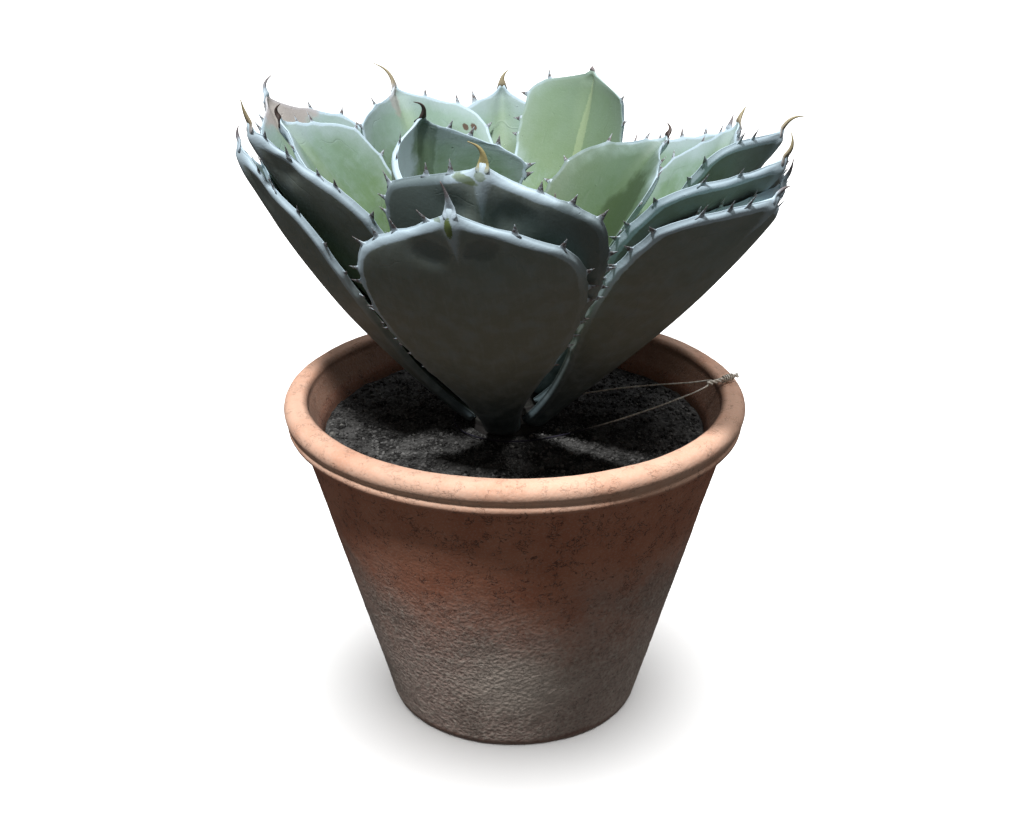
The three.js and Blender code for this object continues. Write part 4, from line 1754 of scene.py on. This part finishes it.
@dataclass
class Soil:
    """The potting soil: a lumpy bed with loose grains on it and a hole for the plant's neck.

    Each of its lumps is a relief: the size of its waves, where it is in the noise and its height.
    """

    pot: Pot
    wall_level: float = 169.2
    neck_level: float = 170.8
    slope_range: Pair = (30.0, 90.0)
    hole_radius: float = 21.3
    hole_bottom: float = 157.8
    hole_centre: Pair = (-4.0, 0.0)
    cutter: float = 40.0
    gap: float = 0.6
    sides: int = 240
    longest: float = 2.0
    lumps: tuple[Place, ...] = ((13.0, 1.7, 0.9), (5.0, 5.1, 0.55), (2.2, 9.4, 0.6))
    sink: float = 0.8
    batches: int = 80
    grains_a_batch: int = 52
    grain_clearance: float = 3.0
    grain_radii: Pair = (0.5, 1.15)
    coarse_radius: float = 1.0
    grain_depths: Pair = (0.6, 1)
    grain_heights: Pair = (0.5, 0.9)
    grain_rise: float = 0.25
    seed: int = 11

    def level(self, x: float, y: float) -> float:
        """The height of the soil's surface at a place.

        Args:
            x: The place's x, in millimetres.
            y: Its y.

        Returns:
            The height.
        """
        plain = lerp(self.neck_level, self.wall_level, smooth(math.hypot(x, y), *self.slope_range))
        lumps = (noise.noise(Vector((x / size, y / size, at))) * height for size, at, height in self.lumps)
        return plain + sum(lumps) - self.sink

    def bed(self) -> bmesh.types.BMesh:
        """The body of the soil with its lumpy top.

        Returns:
            The bed's shape, in millimetres.
        """
        pot = self.pot
        inner = pot.wall + self.gap
        edge = pot.wall_radius(self.wall_level) - inner
        bm = turned(
            [
                (0, pot.floor + self.gap),
                (pot.wall_radius(pot.floor) - inner - pot.base_corner, pot.floor + self.gap),
                (edge, self.wall_level),
                (0, self.wall_level),
            ],
            self.sides,
            self.longest,
        )
        for vert in bm.verts:
            if vert.co.z > self.wall_level - 0.01:
                vert.co.z = self.level(vert.co.x, vert.co.y)
        middle = Matrix.Translation((*self.hole_centre, self.hole_bottom + 0.5 * self.cutter))
        return cut_by(bm, [middle], self.hole_radius, self.cutter)

    def grain(self, bm: bmesh.types.BMesh, draw: SeededDraw) -> None:
        """Adds one loose grain to a batch, or none if it would fall into the hole.

        Args:
            bm: The batch's shape.
            draw: The seeded draws.
        """
        outer = self.pot.wall_radius(self.wall_level) - self.pot.wall - self.grain_clearance
        far = outer * math.sqrt(draw.share())
        turn = draw.between(0, math.tau)
        size = draw.between(*self.grain_radii) + self.coarse_radius * draw.share() ** 4
        shade = draw.share()
        spin = Matrix.Rotation(draw.between(0, math.tau), 4, "Z")
        spin @= Matrix.Rotation(draw.between(0, 3), 4, "X")
        depth, height = size * draw.between(*self.grain_depths), size * draw.between(*self.grain_heights)
        x, y = far * math.cos(turn), far * math.sin(turn)
        from_neck = math.hypot(x - self.hole_centre[0], y - self.hole_centre[1])
        if from_neck < self.hole_radius + self.grain_clearance:
            return
        rest = Matrix.Translation((x, y, self.level(x, y) + self.grain_rise * size))
        place = rest @ spin @ Matrix.Diagonal((size, depth, height, 1))
        made = bmesh.ops.create_icosphere(bm, subdivisions=1, radius=1.0, matrix=place)
        tone = bm.verts.layers.float["tone"]
        for vert in made["verts"]:
            vert[tone] = shade

    def scatter(self, bm: bmesh.types.BMesh) -> None:
        """Lays loose grains over the bed.

        Args:
            bm: The bed's shape, which the grains are added to.
        """
        bm.verts.layers.float.new("tone")
        draw = SeededDraw(self.seed)
        for _ in range(self.batches):
            batch = bmesh.new()
            batch.verts.layers.float.new("tone")
            for _ in range(self.grains_a_batch):
                self.grain(batch, draw)
            added(bm, batch, "tone")

    def build(self) -> Object:
        """Makes the soil's piece in place of its CAD node.

        Returns:
            The piece.
        """
        bm = self.bed()
        self.scatter(bm)
        piece = finished(bm, "soil_bed", [SoilFinish().material()])
        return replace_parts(piece, "soil")


@dataclass
class TieWire:
    """The thin wire that loops round the neck, with its two ends twisted over the rim.

    Its route is the source's. The strands of the loop are thinner than the twist, as a share of
    its radius, and a short wrap winds round the twist between two shares of its length.
    """

    radius: float = 0.7
    strand_share: float = 0.62
    round_steps: int = 3
    route_steps: int = 5
    twist_radius: float = 0.75
    twist_turns: float = 3.5
    twist_steps: int = 44
    wrap_range: Pair = (0.82, 0.48)
    wrap_radius: float = 1.72
    wrap_turns: int = 5
    wrap_steps: int = 60
    start: Place = (109, -1, 193.6)
    end: Place = (127.5, 10.5, 194.4)
    loop: tuple[Place, ...] = (
        (112, 4.5, 193.4),
        (99, 9.5, 190),
        (83, 13.5, 187.3),
        (62, 16.5, 184),
        (40, 19, 179.5),
        (22, 23.5, 174.5),
        (6, 27.5, 172),
        (-10, 28, 171.7),
        (-25, 21, 171.7),
        (-33, 7, 171.7),
        (-33, -9, 171.7),
        (-24, -23, 171.7),
        (-9, -30.5, 171.7),
        (7, -30.5, 171.7),
        (22, -26, 172.2),
        (45, -19.5, 175.5),
        (72, -12.5, 181.5),
        (94, -7, 187.8),
        (107, -3.5, 192.4),
    )

    def wound(self, shares: Pair, phase: float, turns: float, radius: float, steps: int) -> list[Vector]:
        """Points that wind about the twisted end's axis.

        Args:
            shares: Where on the axis they start and end, as shares of its length.
            phase: The first point's angle round the axis, in radians.
            turns: How often they go round.
            radius: Their distance from the axis.
            steps: How many parts the winding is split into.

        Returns:
            The points.
        """
        start, axis = Vector(self.start), Vector(self.end) - Vector(self.start)
        across = Vector((0, 0, 1)).cross(axis).normalized()
        up = axis.cross(across).normalized()
        points = []
        for i in range(steps + 1):
            angle = phase + math.tau * turns * i / steps
            side = across * math.cos(angle) + up * math.sin(angle)
            points.append(start + axis * lerp(*shares, i / steps) + side * radius)
        return points

    def twist(self, phase: float) -> list[Vector]:
        """One end, wound about the twist's axis from a phase in radians."""
        return self.wound((0, 1), phase, self.twist_turns, self.twist_radius, self.twist_steps)

    def build(self) -> Object:
        """Makes the wire's piece in place of its CAD node.

        Returns:
            The piece.
        """
        first = self.twist(math.pi / 2)[::-1]
        second = self.twist(-math.pi / 2)
        wrap = self.wound(self.wrap_range, 0.0, self.wrap_turns, self.wrap_radius, self.wrap_steps)
        route = [*first, *(Vector(point) for point in self.loop), *second]
        curve = bpy.data.curves.new("wire_route", "CURVE")
        curve.dimensions = "3D"
        curve.bevel_depth = self.radius * MM
        curve.bevel_resolution = self.round_steps
        curve.resolution_u = self.route_steps
        curve.use_fill_caps = True
        for points in (route, wrap):
            spline = curve.splines.new("BEZIER")
            spline.bezier_points.add(len(points) - 1)
            for i, (knot, point) in enumerate(zip(spline.bezier_points, points)):
                knot.co = point * MM
                knot.handle_left_type = knot.handle_right_type = "AUTO"
                in_twist = points is route and min(i, len(route) - 1 - i) <= self.twist_steps
                knot.radius = 1.0 if in_twist else self.strand_share
        holder = bpy.data.objects.new("wire_route", curve)
        bpy.context.scene.collection.objects.link(holder)
        graph = bpy.context.evaluated_depsgraph_get()
        mesh = bpy.data.meshes.new_from_object(holder.evaluated_get(graph))
        bpy.data.objects.remove(holder)
        bm = bmesh.new()
        bm.from_mesh(mesh)
        bmesh.ops.remove_doubles(bm, verts=bm.verts[:], dist=1e-7)
        bmesh.ops.scale(bm, vec=(1 / MM, 1 / MM, 1 / MM), verts=bm.verts[:])
        for face in bm.faces:
            face.smooth = True
        piece = finished(bm, "tie_wire_strand", [WireFinish().material()])
        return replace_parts(piece, "tie_wire")


@dataclass(frozen=True)
class Lamp:
    """A square soft light that faces the plant.

    angles are its compass angle and its height over the horizon in degrees, distance and size
    are in metres, and tint is its colour.
    """

    name: str
    angles: Pair
    distance: float
    size: float
    watts: float
    tint: Place
    aim: Place = (0.0, 0.0, 0.22)

    def build(self) -> Object:
        """Hangs the light.

        Returns:
            The light.
        """
        data = bpy.data.lights.new(self.name, "AREA")
        data.shape = "SQUARE"
        data.size = self.size
        data.energy = self.watts
        data.color = self.tint
        turn, height = (math.radians(angle) for angle in self.angles)
        level = math.cos(height)
        away = Vector((level * math.cos(turn), level * math.sin(turn), math.sin(height)))
        lamp = bpy.data.objects.new(self.name, data)
        lamp.location = Vector(self.aim) + away * self.distance
        lamp.rotation_euler = away.to_track_quat("Z", "Y").to_euler()
        bpy.context.scene.collection.objects.link(lamp)
        return lamp


@dataclass
class Studio:
    """The pale floor, the soft lights and the camera at the photograph's viewing angle."""

    camera_place: Place = (-0.00142, -0.8370, 0.5342)
    camera_aim: Place = (-0.00142, 0.0, 0.17719)
    lens: float = 56.25
    sensor: float = 36.0
    clip: Pair = (0.02, 200.0)
    floor_radius: float = 60.0
    floor_sides: int = 96
    floor_tone: Colour = paint(230, 230, 230)
    floor_sun: float = 7.5
    floor_sun_spread: float = 60.0
    sky: Colour = (1.0, 0.97, 0.91, 1.0)
    sky_strength: float = 0.13
    lamps: tuple[Lamp, ...] = (
        Lamp("key_light", (-118, 64), 2.3, 0.26, 88.0, (1.0, 0.985, 0.96)),
        Lamp("side_light", (-16, 68), 2.4, 0.5, 24.0, (1.0, 0.97, 0.93)),
        Lamp("back_light", (70, 50), 2.4, 1.0, 14.0, (0.96, 0.98, 1.0)),
    )

    def floor(self) -> Object:
        """Lays the floor, which throws no light back at the plant.

        Returns:
            The floor.
        """
        s = Shader("pale_floor")
        material = s.dress(base_color=self.floor_tone, roughness=0.9, specular_ior_level=0.1)
        bm = bmesh.new()
        bmesh.ops.create_circle(bm, cap_ends=True, segments=self.floor_sides, radius=self.floor_radius)
        mesh = bpy.data.meshes.new("floor")
        bm.to_mesh(mesh)
        bm.free()
        mesh.materials.append(material)
        floor = bpy.data.objects.new("floor", mesh)
        bpy.context.scene.collection.objects.link(floor)
        floor.visible_diffuse = False
        floor.visible_glossy = False
        return floor

    def floor_light(self, floor: Object) -> None:
        """Lights the floor alone and evenly, so that it shows pale with a soft shadow at the pot.

        Args:
            floor: The floor.
        """
        data = bpy.data.lights.new("floor_light", "SUN")
        data.energy = self.floor_sun
        data.angle = math.radians(self.floor_sun_spread)
        light = bpy.data.objects.new("floor_light", data)
        bpy.context.scene.collection.objects.link(light)
        alone = bpy.data.collections.new("floor_alone")
        alone.objects.link(floor)
        light.light_linking.receiver_collection = alone

    def keep_off(self, lamps: Sequence[Object], floor: Object) -> None:
        """Keeps some lights off the floor, so that they throw no hard shadow on it.

        Args:
            lamps: The lights.
            floor: The floor.
        """
        others = bpy.data.collections.new("all_but_the_floor")
        others.objects.link(floor)
        others.collection_objects[0].light_linking.link_state = "EXCLUDE"
        for lamp in lamps:
            lamp.light_linking.receiver_collection = others

    def camera(self) -> None:
        """Sets up the camera."""
        data = bpy.data.cameras.new("camera")
        data.lens = self.lens
        data.sensor_width = self.sensor
        data.clip_start, data.clip_end = self.clip
        camera = bpy.data.objects.new("camera", data)
        camera.location = self.camera_place
        aim = Vector(self.camera_aim) - Vector(self.camera_place)
        camera.rotation_euler = aim.to_track_quat("-Z", "Y").to_euler()
        bpy.context.scene.collection.objects.link(camera)
        bpy.context.scene.camera = camera

    def build(self) -> None:
        """Makes the floor, lights, sky and camera."""
        self.camera()
        floor = self.floor()
        self.keep_off([lamp.build() for lamp in self.lamps], floor)
        self.floor_light(floor)
        world = bpy.data.worlds.new("soft_sky")
        world.use_nodes = True
        background = world.node_tree.nodes["Background"]
        background.inputs["Color"].default_value = self.sky
        background.inputs["Strength"].default_value = self.sky_strength
        scene = bpy.context.scene
        scene.world = world
        scene.view_settings.view_transform = "Standard"
        scene.view_settings.look = "None"


def main() -> None:
    """Builds the studio and every piece of the plant."""
    logging.basicConfig(level=logging.INFO, format="%(message)s")
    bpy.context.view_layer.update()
    Studio().build()
    pot = Pot()
    pot.build()
    Soil(pot).build()
    Rosette().build()
    TieWire().build()


if __name__ == "__main__":
    main()
